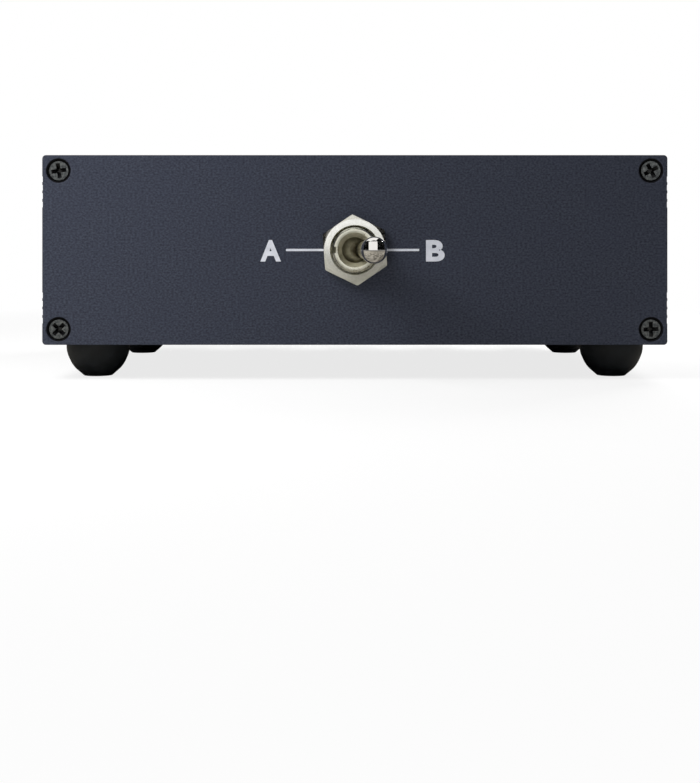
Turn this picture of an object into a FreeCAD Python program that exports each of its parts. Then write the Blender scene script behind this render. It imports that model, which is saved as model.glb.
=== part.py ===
# A two-amplifier speaker selector switch: a flat aluminium case with one bat-lever toggle switch at the
# front and twelve clear binding posts at the rear. X runs to the right seen from the front, Y from front
# to back, Z up. The origin is at the middle of the object's footprint, on the surface that it stands on.
import FreeCAD, Part
import math
import os
import Sketcher

doc = FreeCAD.newDocument("speaker_selector")

# ---------------------------------------------------------------- driving dimensions, millimetres, degrees

SIZES = {
    # case: two extruded shells with a panel on each end
    "case_width": 168, "case_height": 51, "shell_length": 106, "wall": 2, "case_corner": 1,
    "panel_thickness": 2, "panel_side_step": 0.6, "panel_edge_step": 0.2, "panel_corner": 0.9,
    "lap_height": 3, "lap_gap": 0.1,
    "groove_first": 6.5, "groove_pitch": 2.27, "groove_count": 4, "groove_radius": 0.85, "groove_depth": 0.55,
    "rail_level": 12, "rail_slot": 1.8, "rail_rib": 1.2, "rail_reach": 2.5,
    # M3 countersunk cross-recess screws
    "screw_radius": 1.5, "screw_gap": 0.08, "screw_length": 8, "screw_tip_chamfer": 0.45,
    "screw_side_inset": 4.8, "screw_edge_inset": 4.3,
    "screw_head_radius": 2.8, "screw_head_rim": 0.2, "screw_channel_wall": 1.8, "countersink_radius": 3.45,
    "recess_span": 3.3, "recess_width": 0.62, "recess_depth": 1.1,
    # rubber feet
    "foot_radius": 8.7, "foot_height": 9.3, "foot_tread": 0.8, "foot_setback": 15, "foot_inset": 12.6,
    "foot_knee_radius": 6.9, "foot_knee_level": 2.6, "foot_shoulder_level": 6.6, "foot_round": 8,
    "foot_well_radius": 3.1, "foot_web": 4.4, "foot_nut_flats": 5.5, "foot_nut_height": 2.4,
    # binding posts; heights are counted outward from the rear panel's face
    "post_columns": 6, "post_side_inset": 16.15, "post_edge_inset": 9.67,
    "collar_flange_radius": 8.2, "collar_flange_height": 2, "collar_radius": 7.7, "collar_height": 5.4,
    "collar_floor": 1.8, "spigot_radius": 4, "post_gap": 0.1,
    "stud_flange_radius": 6.4, "stud_flange_proud": 0.2, "spindle_radius": 3.4, "spindle_height": 10.8,
    "spindle_chamfer": 0.4, "tail_radius": 2.5, "tail_spare": 1.9,
    "banana_radius": 2.05, "banana_floor_lift": 0.4, "centre_drill_radius": 0.9, "centre_drill_depth": 1.4,
    "wire_hole_radius": 1.2, "wire_hole_lift": 1.8,
    "ring_gap": 0.3, "ring_height": 1.5, "ring_radius": 7.6, "ring_bore_gap": 0.3,
    "cap_skirt_radius": 7.7, "cap_skirt_height": 2.3, "cap_neck_radius": 6.9, "cap_neck_height": 0.6,
    "cap_corner_radius": 7.4, "cap_facet_height": 6.4, "cap_bevel": 0.7, "cap_shoulder_radius": 6.1,
    "cap_shoulder_height": 1.1, "cap_boss_radius": 5, "cap_boss_height": 1.4, "cap_boss_chamfer": 0.3,
    "cap_facets": 8, "cap_twist": 17,
    "insert_radius": 4.6, "insert_collar_radius": 3.2, "insert_thread_gap": 0.06, "insert_proud": 0.5,
    "insert_end_gap": 0.6, "insert_front_wall": 1.6, "insert_moulding_gap": 0.02, "mouth_chamfer": 0.35,
    # what holds a post inside the case
    "insulator_radius": 6.5, "insulator_height": 1.5, "post_nut_flats": 8, "post_nut_height": 3,
    "lug_radius": 4.6, "lug_thickness": 0.6, "lug_tab_width": 4, "lug_tab_reach": 10.5, "lug_wire_place": 8.5,
    # toggle switch; depths and heights are counted from the front panel's face
    "bushing_radius": 6, "bushing_proud": 2.6, "bushing_spare": 2, "bushing_chamfer": 0.45,
    "bushing_mouth_radius": 4.6, "bushing_lip_radius": 3.4, "bushing_lip_rise": 3.4,
    "bushing_lip_height": 0.8, "keyway_width": 1.8, "keyway_depth": 1, "frame_thickness": 1.2,
    "housing_wall": 2, "housing_floor": 3, "housing_side_gap": 2.4,
    "toggle_nut_flats": 16.5, "toggle_nut_height": 2.6, "toggle_nut_bevel": 0.45, "toggle_nut_turn": 4.2,
    "thread_gap": 0.06, "toggle_hole_gap": 0.12,
    "tooth_washer_radius": 9, "tooth_washer_thickness": 0.6, "washer_tab_root": 0.3, "washer_key_gap": 0.15,
    "pivot_depth": 1.6, "pivot_ball_radius": 3.8, "ball_gap": 0.1, "pivot_pin_radius": 1,
    "pivot_pin_recess": 0.4, "pin_running_gap": 0.05, "pin_seat_gap": 0.02,
    "lever_length": 22.9, "lever_tilt": 12, "lever_tip_radius": 3.4, "lever_neck_radius": 2.1,
    "lever_swell_radius": 2.75, "lever_arm_grip": 2, "lever_arm_radius": 1.6,
    "carriage_gap": 0.5, "carriage_height": 4.6, "carriage_width": 7, "carriage_edge": 2,
    "carriage_corner": 0.5, "pole_pitch": 7, "pole_count": 4, "plunger_radius": 1, "plunger_gap": 0.08,
    "plunger_show": 1.6, "plunger_length": 4, "spring_bore_radius": 0.6, "spring_wall_gap": 0.1,
    "plunger_well": 3.8, "rocker_thickness": 0.8, "rocker_overhang": 1.1, "rocker_width": 4.6,
    "rocker_rise": 8, "rocker_clearance": 0.1, "fulcrum_gap": 0.1,
    "throw_pitch": 7.5, "terminal_thickness": 1, "terminal_width": 3.6, "terminal_rise": 3.2,
    "terminal_tail": 8.6,
    "terminal_eye_radius": 0.8, "terminal_eye_inset": 2.5, "terminal_gap": 0.05, "barrier_thickness": 1.2,
    # hook-up wires
    "hookup_wire_radius": 0.9, "hookup_wire_lead": 8, "hookup_wire_drop": 12, "hookup_wire_lane": 2.2,
    "hookup_wire_gap": 0.2, "hookup_wire_bend_share": 0.45,
}

dim = doc.addObject("Spreadsheet::Sheet", "dim")
for row, (word, value) in enumerate(SIZES.items(), start=1):
    dim.set(f"A{row}", word)
    dim.set(f"B{row}", str(value))
    dim.setAlias(f"B{row}", word)
doc.recompute()

# Lengths that follow from the driving ones.
HALF_WIDTH = "(dim.case_width / 2)"
HALF_HEIGHT = "(dim.case_height / 2)"
HALF_DEPTH = "(dim.shell_length / 2 + dim.panel_thickness)"
LEVER_REACH = "(dim.lever_length * cos(dim.lever_tilt) + dim.lever_tip_radius - dim.pivot_depth)"
STUD_TOP = "(dim.collar_height + dim.stud_flange_proud)"
SPINDLE_TOP = f"({STUD_TOP} + dim.spindle_height)"
BANANA_FLOOR = f"({STUD_TOP} + dim.banana_floor_lift)"
RING_LOW = f"({STUD_TOP} + dim.ring_gap)"
CAP_LOW = f"({RING_LOW} + dim.ring_height + dim.ring_gap)"
SKIRT_TOP = f"({CAP_LOW} + dim.cap_skirt_height)"
NECK_TOP = f"({SKIRT_TOP} + dim.cap_neck_height)"
FACET_TOP = f"({NECK_TOP} + dim.cap_facet_height)"
SHOULDER_TOP = f"({FACET_TOP} + dim.cap_shoulder_height)"
BOSS_TOP = f"({SHOULDER_TOP} + dim.cap_boss_height)"
INSERT_FRONT = f"({BOSS_TOP} + dim.insert_proud)"
INSERT_MOUTH = f"({SPINDLE_TOP} + dim.insert_end_gap)"
INSERT_SHOULDER = f"({INSERT_MOUTH} + dim.insert_front_wall)"
INSERT_BORE = "(dim.spindle_radius + dim.insert_thread_gap)"
CAP_BORE = "(dim.insert_radius + dim.insert_moulding_gap)"
CAP_MOUTH = "(dim.insert_collar_radius + dim.insert_moulding_gap)"
CAP_STEP = f"({INSERT_SHOULDER} + dim.insert_moulding_gap)"
MIDDLE_Y = f"(({LEVER_REACH} - {INSERT_FRONT}) / 2)"
MIDDLE_Z = "(dim.foot_height + dim.case_height / 2)"
FRONT_FACE = f"({MIDDLE_Y} - {HALF_DEPTH})"
REAR_FACE = f"({MIDDLE_Y} + {HALF_DEPTH})"
SCREW_X = f"({HALF_WIDTH} - dim.screw_side_inset)"
SCREW_Y = f"({HALF_HEIGHT} - dim.screw_edge_inset)"
POST_X = f"({HALF_WIDTH} - dim.post_side_inset)"
POST_Y = f"({HALF_HEIGHT} - dim.post_edge_inset)"
POST_PITCH = f"(2 * {POST_X} / (dim.post_columns - 1))"
FOOT_X = f"({HALF_WIDTH} - dim.foot_inset)"
FOOT_Y = f"({HALF_DEPTH} - dim.foot_setback)"
FOOT_WELL_DEPTH = "(dim.foot_height - dim.foot_web)"
INSULATOR_BACK = "(-dim.panel_thickness - dim.insulator_height)"
LUG_FRONT = f"({INSULATOR_BACK} - dim.post_nut_height)"
LUG_BACK = f"({LUG_FRONT} - dim.lug_thickness)"
TAIL_END = f"({LUG_BACK} - dim.post_nut_height - dim.tail_spare)"
BUSHING_FRONT = "(dim.toggle_nut_height + dim.bushing_proud)"
BUSHING_BASE = ("(dim.panel_thickness + dim.tooth_washer_thickness + dim.toggle_nut_height"
                " + dim.bushing_spare)")
CAVITY_RADIUS = "(dim.pivot_ball_radius + dim.ball_gap)"
LIP_BACK = "(dim.bushing_lip_rise - dim.pivot_depth)"
LIP_FRONT = f"({LIP_BACK} + dim.bushing_lip_height)"
PIVOT_PIN_LENGTH = "(2 * (dim.bushing_radius - dim.pivot_pin_recess))"
HOUSING_FRONT = f"(-{BUSHING_BASE} - dim.frame_thickness)"
# Distances along the lever from its pivot: the carriage clears the frame plate when the lever is over.
CARRIAGE_NEAR = (f"((-{HOUSING_FRONT} - dim.pivot_depth + dim.carriage_gap"
                 " + dim.carriage_width / 2 * sin(dim.lever_tilt)) / cos(dim.lever_tilt))")
CARRIAGE_FAR = f"({CARRIAGE_NEAR} + dim.carriage_height)"
PLUNGER_REACH = f"({CARRIAGE_FAR} + dim.plunger_show)"
WELL_TOP = f"(dim.plunger_well - {CARRIAGE_FAR})"
ROCKER_TOP = f"(-dim.pivot_depth - {PLUNGER_REACH} - dim.rocker_clearance)"
TERMINAL_TOP = f"({ROCKER_TOP} - dim.rocker_thickness - dim.fulcrum_gap)"
FULCRUM = f"({TERMINAL_TOP} - dim.terminal_thickness / 2)"
ROCKER_HALF_LENGTH = "(dim.throw_pitch + dim.rocker_overhang)"
HOUSING_BASE = f"({TERMINAL_TOP} - dim.terminal_rise)"
HOUSING_BACK = f"({HOUSING_BASE} - dim.housing_floor)"
HOUSING_WIDTH = f"(2 * ({ROCKER_HALF_LENGTH} + dim.housing_side_gap + dim.housing_wall))"
HOUSING_TALL = "(dim.pole_pitch * dim.pole_count + 2 * dim.housing_wall)"
TERMINAL_END = f"({HOUSING_BACK} - dim.terminal_tail)"
FIRST_POLE = "(-dim.pole_pitch * (dim.pole_count - 1) / 2)"

# Rows for repeated features: (axis role, length of the row, count).
FOOT_GRID = (("X_Axis", f"2 * {FOOT_X}", "2"), ("Y_Axis", f"2 * {FOOT_Y}", "2"))
POST_GRID = (("X_Axis", f"2 * {POST_X}", "dim.post_columns"), ("Y_Axis", f"2 * {POST_Y}", "2"))
POLE_ROW = ("Y_Axis", "dim.pole_pitch * (dim.pole_count - 1)", "dim.pole_count")
TERMINAL_GRID = (("X_Axis", "2 * dim.throw_pitch", "3"), POLE_ROW)

# Turns that point a sub-part's own Z axis out of the front, out of the rear or down.
ACROSS = FreeCAD.Vector(1, 0, 0)
UPRIGHT = FreeCAD.Vector(0, 0, 1)
OUT_OF_FRONT = FreeCAD.Rotation(ACROSS, 90)
OUT_OF_REAR = FreeCAD.Rotation(ACROSS, -90)
DOWNWARD = FreeCAD.Rotation(ACROSS, 180)
STRAIGHT = FreeCAD.Rotation()

nodes = []


def worth(expression):
    """The number that an expression on the sheet comes to."""
    return float(dim.evalExpression(expression))


# ---------------------------------------------------------------- building blocks

def new_body(label):
    body = doc.addObject("PartDesign::Body", label)
    body.Label = label
    return body


def origin_part(body, role):
    return next(part for part in body.Origin.OriginFeatures if part.Role == role)


def new_sketch(body, role="XY_Plane", level="0"):
    """A sketch on one of the body's own origin planes, lifted off it along the plane's normal."""
    sketch = body.newObject("Sketcher::SketchObject", "outline")
    sketch.AttachmentSupport = [(origin_part(body, role), "")]
    sketch.MapMode = "FlatFace"
    sketch.setExpression("AttachmentOffset.Base.z", level)
    return sketch


def tie(sketch, kind, first, point, expression):
    """Ties one vertex, counted from the sketch's origin, to an expression on the sheet."""
    constraint = Sketcher.Constraint(kind, -1, 1, first, point, worth(expression))
    number = sketch.addConstraint(constraint)
    sketch.setExpression(f"Constraints[{number}]", expression)


def draw_outline(sketch, corners):
    """Straight lines through the corners, closed, with every corner tied to the sheet."""
    first = sketch.GeometryCount
    count = len(corners)
    places = [FreeCAD.Vector(worth(x), worth(y), 0) for x, y in corners]
    for index, place in enumerate(places):
        sketch.addGeometry(Part.LineSegment(place, places[(index + 1) % count]))
    for index in range(count):
        following = first + (index + 1) % count
        sketch.addConstraint(Sketcher.Constraint("Coincident", first + index, 2, following, 1))
    for index, (x, y) in enumerate(corners):
        tie(sketch, "DistanceX", first + index, 1, x)
        tie(sketch, "DistanceY", first + index, 1, y)


def draw_circle(sketch, x, y, radius):
    """A circle with its centre and radius tied to the sheet."""
    centre = FreeCAD.Vector(worth(x), worth(y), 0)
    circle = sketch.addGeometry(Part.Circle(centre, UPRIGHT, worth(radius)))
    tie(sketch, "DistanceX", circle, 3, x)
    tie(sketch, "DistanceY", circle, 3, y)
    number = sketch.addConstraint(Sketcher.Constraint("Radius", circle, worth(radius)))
    sketch.setExpression(f"Constraints[{number}]", radius)


def box_corners(left, right, low, high):
    return [(left, low), (right, low), (right, high), (left, high)]


def centred_box(width, tall):
    return box_corners(f"-({width}) / 2", f"({width}) / 2", f"-({tall}) / 2", f"({tall}) / 2")


def polygon_corners(radius, count, turn="0"):
    """Corners of a regular polygon about the origin."""
    angles = [f"(360 * {index} / {count} + {turn})" for index in range(count)]
    return [(f"{radius} * cos({angle})", f"{radius} * sin({angle})") for angle in angles]


def hexagon_corners(flats, turn="0"):
    return polygon_corners(f"{flats} / (2 * cos(30))", 6, turn)


def pad(body, sketch, length, symmetric=False):
    feature = body.newObject("PartDesign::Pad", "pad")
    feature.Profile = sketch
    feature.setExpression("Length", length)
    if symmetric:
        feature.SideType = "Symmetric"
    return feature


def pocket(body, sketch, depth, symmetric=False):
    """A cut that runs from the sketch against its normal, or to both sides of it."""
    feature = body.newObject("PartDesign::Pocket", "pocket")
    feature.Profile = sketch
    feature.setExpression("Length", depth)
    if symmetric:
        feature.SideType = "Symmetric"
    return feature


def prism(body, corners, bottom, height):
    """A straight block along the body's Z axis."""
    sketch = new_sketch(body, level=bottom)
    draw_outline(sketch, corners)
    return pad(body, sketch, height)


def prism_cut(body, corners, top, depth):
    sketch = new_sketch(body, level=top)
    draw_outline(sketch, corners)
    return pocket(body, sketch, depth)


def rod(body, x, y, radius, bottom, height):
    sketch = new_sketch(body, level=bottom)
    draw_circle(sketch, x, y, radius)
    return pad(body, sketch, height)


def bore(body, x, y, radius, top, depth):
    sketch = new_sketch(body, level=top)
    draw_circle(sketch, x, y, radius)
    return pocket(body, sketch, depth)


def cross_bore(body, x, z, radius, length, role="XZ_Plane"):
    """A round hole across the body's Z axis."""
    sketch = new_sketch(body, role)
    draw_circle(sketch, x, z, radius)
    return pocket(body, sketch, length, symmetric=True)


def turned(body, profile, kind="PartDesign::Revolution"):
    """A profile of (radius, height) corners turned about the body's Z axis."""
    sketch = new_sketch(body, "XZ_Plane")
    draw_outline(sketch, profile)
    feature = body.newObject(kind, "turned")
    feature.Profile = sketch
    feature.ReferenceAxis = (sketch, ["V_Axis"])
    feature.Angle = 360
    return feature


def turned_cut(body, profile):
    return turned(body, profile, "PartDesign::Groove")


def ball(body, radius, level):
    sphere = body.newObject("PartDesign::AdditiveSphere", "ball")
    sphere.AttachmentSupport = [(origin_part(body, "XY_Plane"), "")]
    sphere.MapMode = "FlatFace"
    sphere.setExpression("AttachmentOffset.Base.z", level)
    sphere.setExpression("Radius", radius)
    return sphere


def cone_cut(body, x, y, bottom_radius, top_radius, top):
    """A 90 degree countersink with its wide end at the given level."""
    cone = body.newObject("PartDesign::SubtractiveCone", "countersink")
    cone.AttachmentSupport = [(origin_part(body, "XY_Plane"), "")]
    cone.MapMode = "FlatFace"
    depth = f"({top_radius} - {bottom_radius})"
    cone.setExpression("AttachmentOffset.Base.x", x)
    cone.setExpression("AttachmentOffset.Base.y", y)
    cone.setExpression("AttachmentOffset.Base.z", f"{top} - {depth}")
    cone.setExpression("Radius1", bottom_radius)
    cone.setExpression("Radius2", top_radius)
    cone.setExpression("Height", depth)
    return cone


def repeat(body, features, *steps):
    """Repeats features, or the whole body if none are named, along its axes or in a mirror.

    A step is (axis role, length, count) or the role of a mirror plane.
    """
    grid = body.newObject("PartDesign::MultiTransform", "repeat")
    if features:
        grid.Originals = features
    else:
        grid.TransformMode = "Whole shape"
    transforms = []
    for step in steps:
        if isinstance(step, str):
            mirror = body.newObject("PartDesign::Mirrored", "mirror")
            mirror.MirrorPlane = (origin_part(body, step), [""])
            transforms.append(mirror)
        else:
            role, length, count = step
            row = body.newObject("PartDesign::LinearPattern", "row")
            row.Direction = (origin_part(body, role), [""])
            row.setExpression("Length", length)
            row.setExpression("Occurrences", count)
            transforms.append(row)
    grid.Transformations = transforms
    body.Tip = grid
    doc.recompute()
    return grid


def soften(body, kind, size_name, size, wanted):
    """Fillets or chamfers the edges of the body's last feature that the test picks."""
    doc.recompute()
    base = body.Tip
    names = [f"Edge{index}" for index, edge in enumerate(base.Shape.Edges, start=1) if wanted(edge)]
    feature = body.newObject(kind, "soften")
    feature.Base = (base, names)
    feature.setExpression(size_name, size)
    doc.recompute()
    return feature


def round_upright_edges(body, radius, x, y):
    """Rounds the edges along Z that stand at a given distance from the body's Z axis."""
    def wanted(edge):
        middle = edge.CenterOfMass
        upright = abs(edge.BoundBox.ZLength - edge.Length) < 1e-6
        return upright and abs(abs(middle.x) - worth(x)) < 1e-4 and abs(abs(middle.y) - worth(y)) < 1e-4
    return soften(body, "PartDesign::Fillet", "Radius", radius, wanted)


def place(item, x, y, z, rotation=STRAIGHT):
    for axis, expression in zip("xyz", (x, y, z)):
        item.setExpression(f"Placement.Base.{axis}", expression)
    item.Placement.Rotation = rotation


def keep(item):
    nodes.append(item)
    return item


# ---------------------------------------------------------------- case

def shell_outline(side, rim):
    """The section of one shell: side is 1 for the upper shell and -1 for the lower one.

    The rim gives the steps of the joint from the outside in, as (inset, level).
    """
    right = [(f"{HALF_WIDTH} - {inset}", level) for inset, level in rim]
    left = [(f"{inset} - {HALF_WIDTH}", level) for inset, level in reversed(rim)]
    ceiling = f"{side} * ({HALF_HEIGHT} - dim.wall)"
    inside = [(f"{HALF_WIDTH} - dim.wall", ceiling), (f"dim.wall - {HALF_WIDTH}", ceiling)]
    roof = f"{side} * {HALF_HEIGHT}"
    return right + inside + left + [(f"-{HALF_WIDTH}", roof), (HALF_WIDTH, roof)]


def make_shell(label, side, rim):
    """One extruded half of the case, with its screw channels and the grooves along its sides."""
    body = new_body(label)
    prism(body, shell_outline(side, rim), "0", "dim.shell_length")
    round_upright_edges(body, "dim.case_corner", HALF_WIDTH, HALF_HEIGHT)
    channel_y = f"{side} * {SCREW_Y}"
    channel = rod(body, SCREW_X, channel_y, "dim.screw_radius + dim.screw_channel_wall",
                  "0", "dim.shell_length")
    repeat(body, [channel], "YZ_Plane")
    screw_hole = bore(body, SCREW_X, channel_y, "dim.screw_radius + dim.screw_gap",
                      "dim.shell_length", "dim.shell_length")
    repeat(body, [screw_hole], "YZ_Plane")
    groove_run = "dim.groove_pitch * (dim.groove_count - 1)"
    if side > 0:
        lowest = f"{HALF_HEIGHT} - dim.groove_first - {groove_run}"
    else:
        lowest = f"dim.groove_first - {HALF_HEIGHT}"
    groove = bore(body, f"{HALF_WIDTH} + dim.groove_radius - dim.groove_depth", lowest,
                  "dim.groove_radius", "dim.shell_length", "dim.shell_length")
    repeat(body, [groove], ("Y_Axis", groove_run, "dim.groove_count"), "YZ_Plane")
    place(body, "0", f"{MIDDLE_Y} + dim.shell_length / 2", MIDDLE_Z, OUT_OF_FRONT)
    return body


LIP = "(dim.wall / 2 - dim.lap_gap / 2)"
LAP_LOW = "-dim.lap_height / 2"
LAP_HIGH = "dim.lap_height / 2"


def make_upper_shell():
    rim = [("0", LAP_LOW), (LIP, LAP_LOW), (LIP, f"{LAP_HIGH} + dim.lap_gap"),
           ("dim.wall", f"{LAP_HIGH} + dim.lap_gap")]
    keep(make_shell("upper_shell", 1, rim))


def make_lower_shell():
    """The lower half also has the feet's screw holes and a pair of board rails along each side."""
    inner = f"(dim.wall - {LIP})"
    rim = [("0", LAP_LOW), (inner, LAP_LOW), (inner, LAP_HIGH), ("dim.wall", LAP_HIGH)]
    body = make_shell("lower_shell", -1, rim)
    wall_face = f"{HALF_WIDTH} - dim.wall"
    upper_rib_low = "dim.rail_slot / 2 - dim.rail_level"
    lower_rib_high = "-dim.rail_slot / 2 - dim.rail_level"
    ribs = []
    for low, high in ((upper_rib_low, f"{upper_rib_low} + dim.rail_rib"),
                      (f"{lower_rib_high} - dim.rail_rib", lower_rib_high)):
        corners = box_corners(f"{wall_face} - dim.rail_reach", f"{wall_face} + dim.wall / 2", low, high)
        ribs.append(prism(body, corners, "0", "dim.shell_length"))
    repeat(body, ribs, "YZ_Plane")
    hole_z = f"dim.shell_length / 2 - {FOOT_Y}"
    hole = cross_bore(body, FOOT_X, hole_z, "dim.screw_radius + dim.screw_gap",
                      "2 * dim.case_height")
    repeat(body, [hole], ("Z_Axis", f"2 * {FOOT_Y}", "2"), "YZ_Plane")
    keep(body)


def make_panel(label, rotation, face, cut_openings):
    """A painted plate on one end of the case, with countersunk screw holes at its corners."""
    body = new_body(label)
    width = "dim.case_width - 2 * dim.panel_side_step"
    tall = "dim.case_height - 2 * dim.panel_edge_step"
    prism(body, centred_box(width, tall), "-dim.panel_thickness", "dim.panel_thickness")
    round_upright_edges(body, "dim.panel_corner", f"({width}) / 2", f"({tall}) / 2")
    clearance = "dim.screw_radius + dim.screw_gap"
    hole = bore(body, f"-{SCREW_X}", f"-{SCREW_Y}", clearance, "0", "dim.panel_thickness")
    sink = cone_cut(body, f"-{SCREW_X}", f"-{SCREW_Y}", f"({clearance})", "dim.countersink_radius", "0")
    repeat(body, [hole, sink], "YZ_Plane", "XZ_Plane")
    cut_openings(body)
    place(body, "0", face, MIDDLE_Z, rotation)
    keep(body)


def cut_toggle_hole(body):
    bore(body, "0", "0", "dim.bushing_radius + dim.toggle_hole_gap", "0", "dim.panel_thickness")


def cut_post_holes(body):
    hole = bore(body, f"-{POST_X}", f"-{POST_Y}", "dim.spigot_radius + dim.post_gap",
                "0", "dim.panel_thickness")
    repeat(body, [hole], *POST_GRID)


# ---------------------------------------------------------------- screws, feet and nuts

# The conical head seats this far below a face with a countersink of the full width.
HEAD_SINK = "(dim.countersink_radius - dim.screw_head_radius - dim.screw_gap)"


def make_screws(label, sink, spread_x, spread_y, x, y, z, rotation):
    """Four cross-recess screws with their heads below a face, one at each corner of a rectangle."""
    body = new_body(label)
    rim_low = f"(-{sink})"
    cone_low = f"({rim_low} - dim.screw_head_radius + dim.screw_radius)"
    top = f"({rim_low} + dim.screw_head_rim)"
    tip = f"({top} - dim.screw_length)"
    turned(body, [("0", top), ("dim.screw_head_radius", top), ("dim.screw_head_radius", rim_low),
                  ("dim.screw_radius", cone_low), ("dim.screw_radius", f"{tip} + dim.screw_tip_chamfer"),
                  ("dim.screw_radius - dim.screw_tip_chamfer", tip), ("0", tip)])
    prism_cut(body, centred_box("dim.recess_span", "dim.recess_width"), top, "dim.recess_depth")
    prism_cut(body, centred_box("dim.recess_width", "dim.recess_span"), top, "dim.recess_depth")
    repeat(body, [], ("X_Axis", spread_x, "2"), ("Y_Axis", spread_y, "2"))
    place(body, x, y, z, rotation)
    return body


def make_machine_screws():
    """All twelve screws are alike: four at the front, four at the rear and four in the feet."""
    corner = (f"-{SCREW_X}", f"2 * {SCREW_X}", f"2 * {SCREW_Y}")
    front = make_screws("front_screws", HEAD_SINK, corner[1], corner[2],
                        corner[0], FRONT_FACE, f"{MIDDLE_Z} - {SCREW_Y}", OUT_OF_FRONT)
    rear = make_screws("rear_screws", HEAD_SINK, corner[1], corner[2],
                       corner[0], REAR_FACE, f"{MIDDLE_Z} + {SCREW_Y}", OUT_OF_REAR)
    seat = f"({FOOT_WELL_DEPTH} + dim.foot_well_radius - dim.screw_head_radius - dim.screw_gap)"
    feet = make_screws("foot_screws", seat, f"2 * {FOOT_X}", f"2 * {FOOT_Y}",
                       f"-{FOOT_X}", f"{MIDDLE_Y} + {FOOT_Y}", "0", DOWNWARD)
    group = doc.addObject("Part::Compound", "machine_screws")
    group.Label = "machine_screws"
    group.Links = [front, rear, feet]
    keep(group)


def place_at_first_foot(body, level):
    place(body, f"-{FOOT_X}", f"{MIDDLE_Y} - {FOOT_Y}", level)


def make_rubber_feet():
    """Domed feet with a narrow flat tread round a well that hides the screw."""
    body = new_body("rubber_feet")
    clearance = "dim.screw_radius + dim.screw_gap"
    seat_top = f"{FOOT_WELL_DEPTH} + dim.foot_well_radius - ({clearance})"
    turned(body, [("dim.foot_well_radius", "0"), ("dim.foot_well_radius + dim.foot_tread", "0"),
                  ("dim.foot_knee_radius", "dim.foot_knee_level"),
                  ("dim.foot_radius", "dim.foot_shoulder_level"),
                  ("dim.foot_radius", "dim.foot_height"), (clearance, "dim.foot_height"),
                  (clearance, seat_top), ("dim.foot_well_radius", FOOT_WELL_DEPTH)])

    def dome_edge(edge):
        box = edge.BoundBox
        bends = (worth("dim.foot_knee_level"), worth("dim.foot_shoulder_level"))
        return box.ZLength < 1e-4 and box.XMax > worth("dim.foot_well_radius") and any(
            abs(box.ZMax - bend) < 1e-4 for bend in bends)
    soften(body, "PartDesign::Fillet", "Radius", "dim.foot_round", dome_edge)
    repeat(body, [], *FOOT_GRID)
    place_at_first_foot(body, "0")
    keep(body)


def make_foot_nuts():
    body = new_body("foot_nuts")
    sketch = new_sketch(body)
    draw_outline(sketch, hexagon_corners("dim.foot_nut_flats"))
    draw_circle(sketch, "0", "0", "dim.screw_radius + dim.screw_gap")
    pad(body, sketch, "dim.foot_nut_height")
    repeat(body, [], *FOOT_GRID)
    place_at_first_foot(body, "dim.foot_height + dim.wall")
    keep(body)


# ---------------------------------------------------------------- binding posts

def place_at_first_post(body):
    place(body, f"-{POST_X}", REAR_FACE, f"{MIDDLE_Z} + {POST_Y}", OUT_OF_REAR)


def make_post_collars():
    """Clear collars against the rear panel; each has a spigot that lines the panel's hole."""
    body = new_body("post_collars")
    stud_hole = "dim.tail_radius + dim.post_gap"
    turned(body, [(stud_hole, "-dim.panel_thickness"), ("dim.spigot_radius", "-dim.panel_thickness"),
                  ("dim.spigot_radius", "0"), ("dim.collar_flange_radius", "0"),
                  ("dim.collar_flange_radius", "dim.collar_flange_height"),
                  ("dim.collar_radius", "dim.collar_flange_height"),
                  ("dim.collar_radius", "dim.collar_height"),
                  ("dim.stud_flange_radius + dim.post_gap", "dim.collar_height"),
                  ("dim.stud_flange_radius + dim.post_gap", "dim.collar_floor"),
                  (stud_hole, "dim.collar_floor")])
    repeat(body, [], *POST_GRID)
    place_at_first_post(body)
    keep(body)


def make_post_studs():
    """Brass studs: a flange in the collar, a threaded spindle with the banana bore, and a tail inside."""
    body = new_body("post_studs")
    chamfered = "dim.spindle_radius - dim.spindle_chamfer"
    turned(body, [("0", TAIL_END), ("dim.tail_radius", TAIL_END),
                  ("dim.tail_radius", "dim.collar_floor"), ("dim.stud_flange_radius", "dim.collar_floor"),
                  ("dim.stud_flange_radius", STUD_TOP), ("dim.spindle_radius", STUD_TOP),
                  ("dim.spindle_radius", f"{SPINDLE_TOP} - dim.spindle_chamfer"),
                  (chamfered, SPINDLE_TOP), ("0", SPINDLE_TOP)])
    bore(body, "0", "0", "dim.banana_radius", SPINDLE_TOP, f"{SPINDLE_TOP} - {BANANA_FLOOR}")
    bore(body, "0", "0", "dim.centre_drill_radius", BANANA_FLOOR, "dim.centre_drill_depth")
    wire_hole_level = f"{STUD_TOP} + dim.wire_hole_lift"
    cross_bore(body, "0", wire_hole_level, "dim.wire_hole_radius", "4 * dim.spindle_radius")
    repeat(body, [], *POST_GRID)
    place_at_first_post(body)
    keep(body)


def make_post_insulators():
    """Insulating washers behind the rear panel."""
    body = new_body("post_insulators")
    stud_hole = "dim.tail_radius + dim.post_gap"
    turned(body, [(stud_hole, INSULATOR_BACK), ("dim.insulator_radius", INSULATOR_BACK),
                  ("dim.insulator_radius", "-dim.panel_thickness"), (stud_hole, "-dim.panel_thickness")])
    repeat(body, [], *POST_GRID)
    place_at_first_post(body)
    keep(body)


def make_post_nuts():
    """Two nuts on each stud, with the solder lug between them."""
    body = new_body("post_nuts")
    sketch = new_sketch(body, level=f"{LUG_BACK} - dim.post_nut_height")
    draw_outline(sketch, hexagon_corners("dim.post_nut_flats"))
    draw_circle(sketch, "0", "0", "dim.tail_radius + dim.thread_gap")
    pad(body, sketch, "dim.post_nut_height")
    repeat(body, [], ("Z_Axis", "dim.post_nut_height + dim.lug_thickness", "2"), *POST_GRID)
    place_at_first_post(body)
    keep(body)


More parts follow.
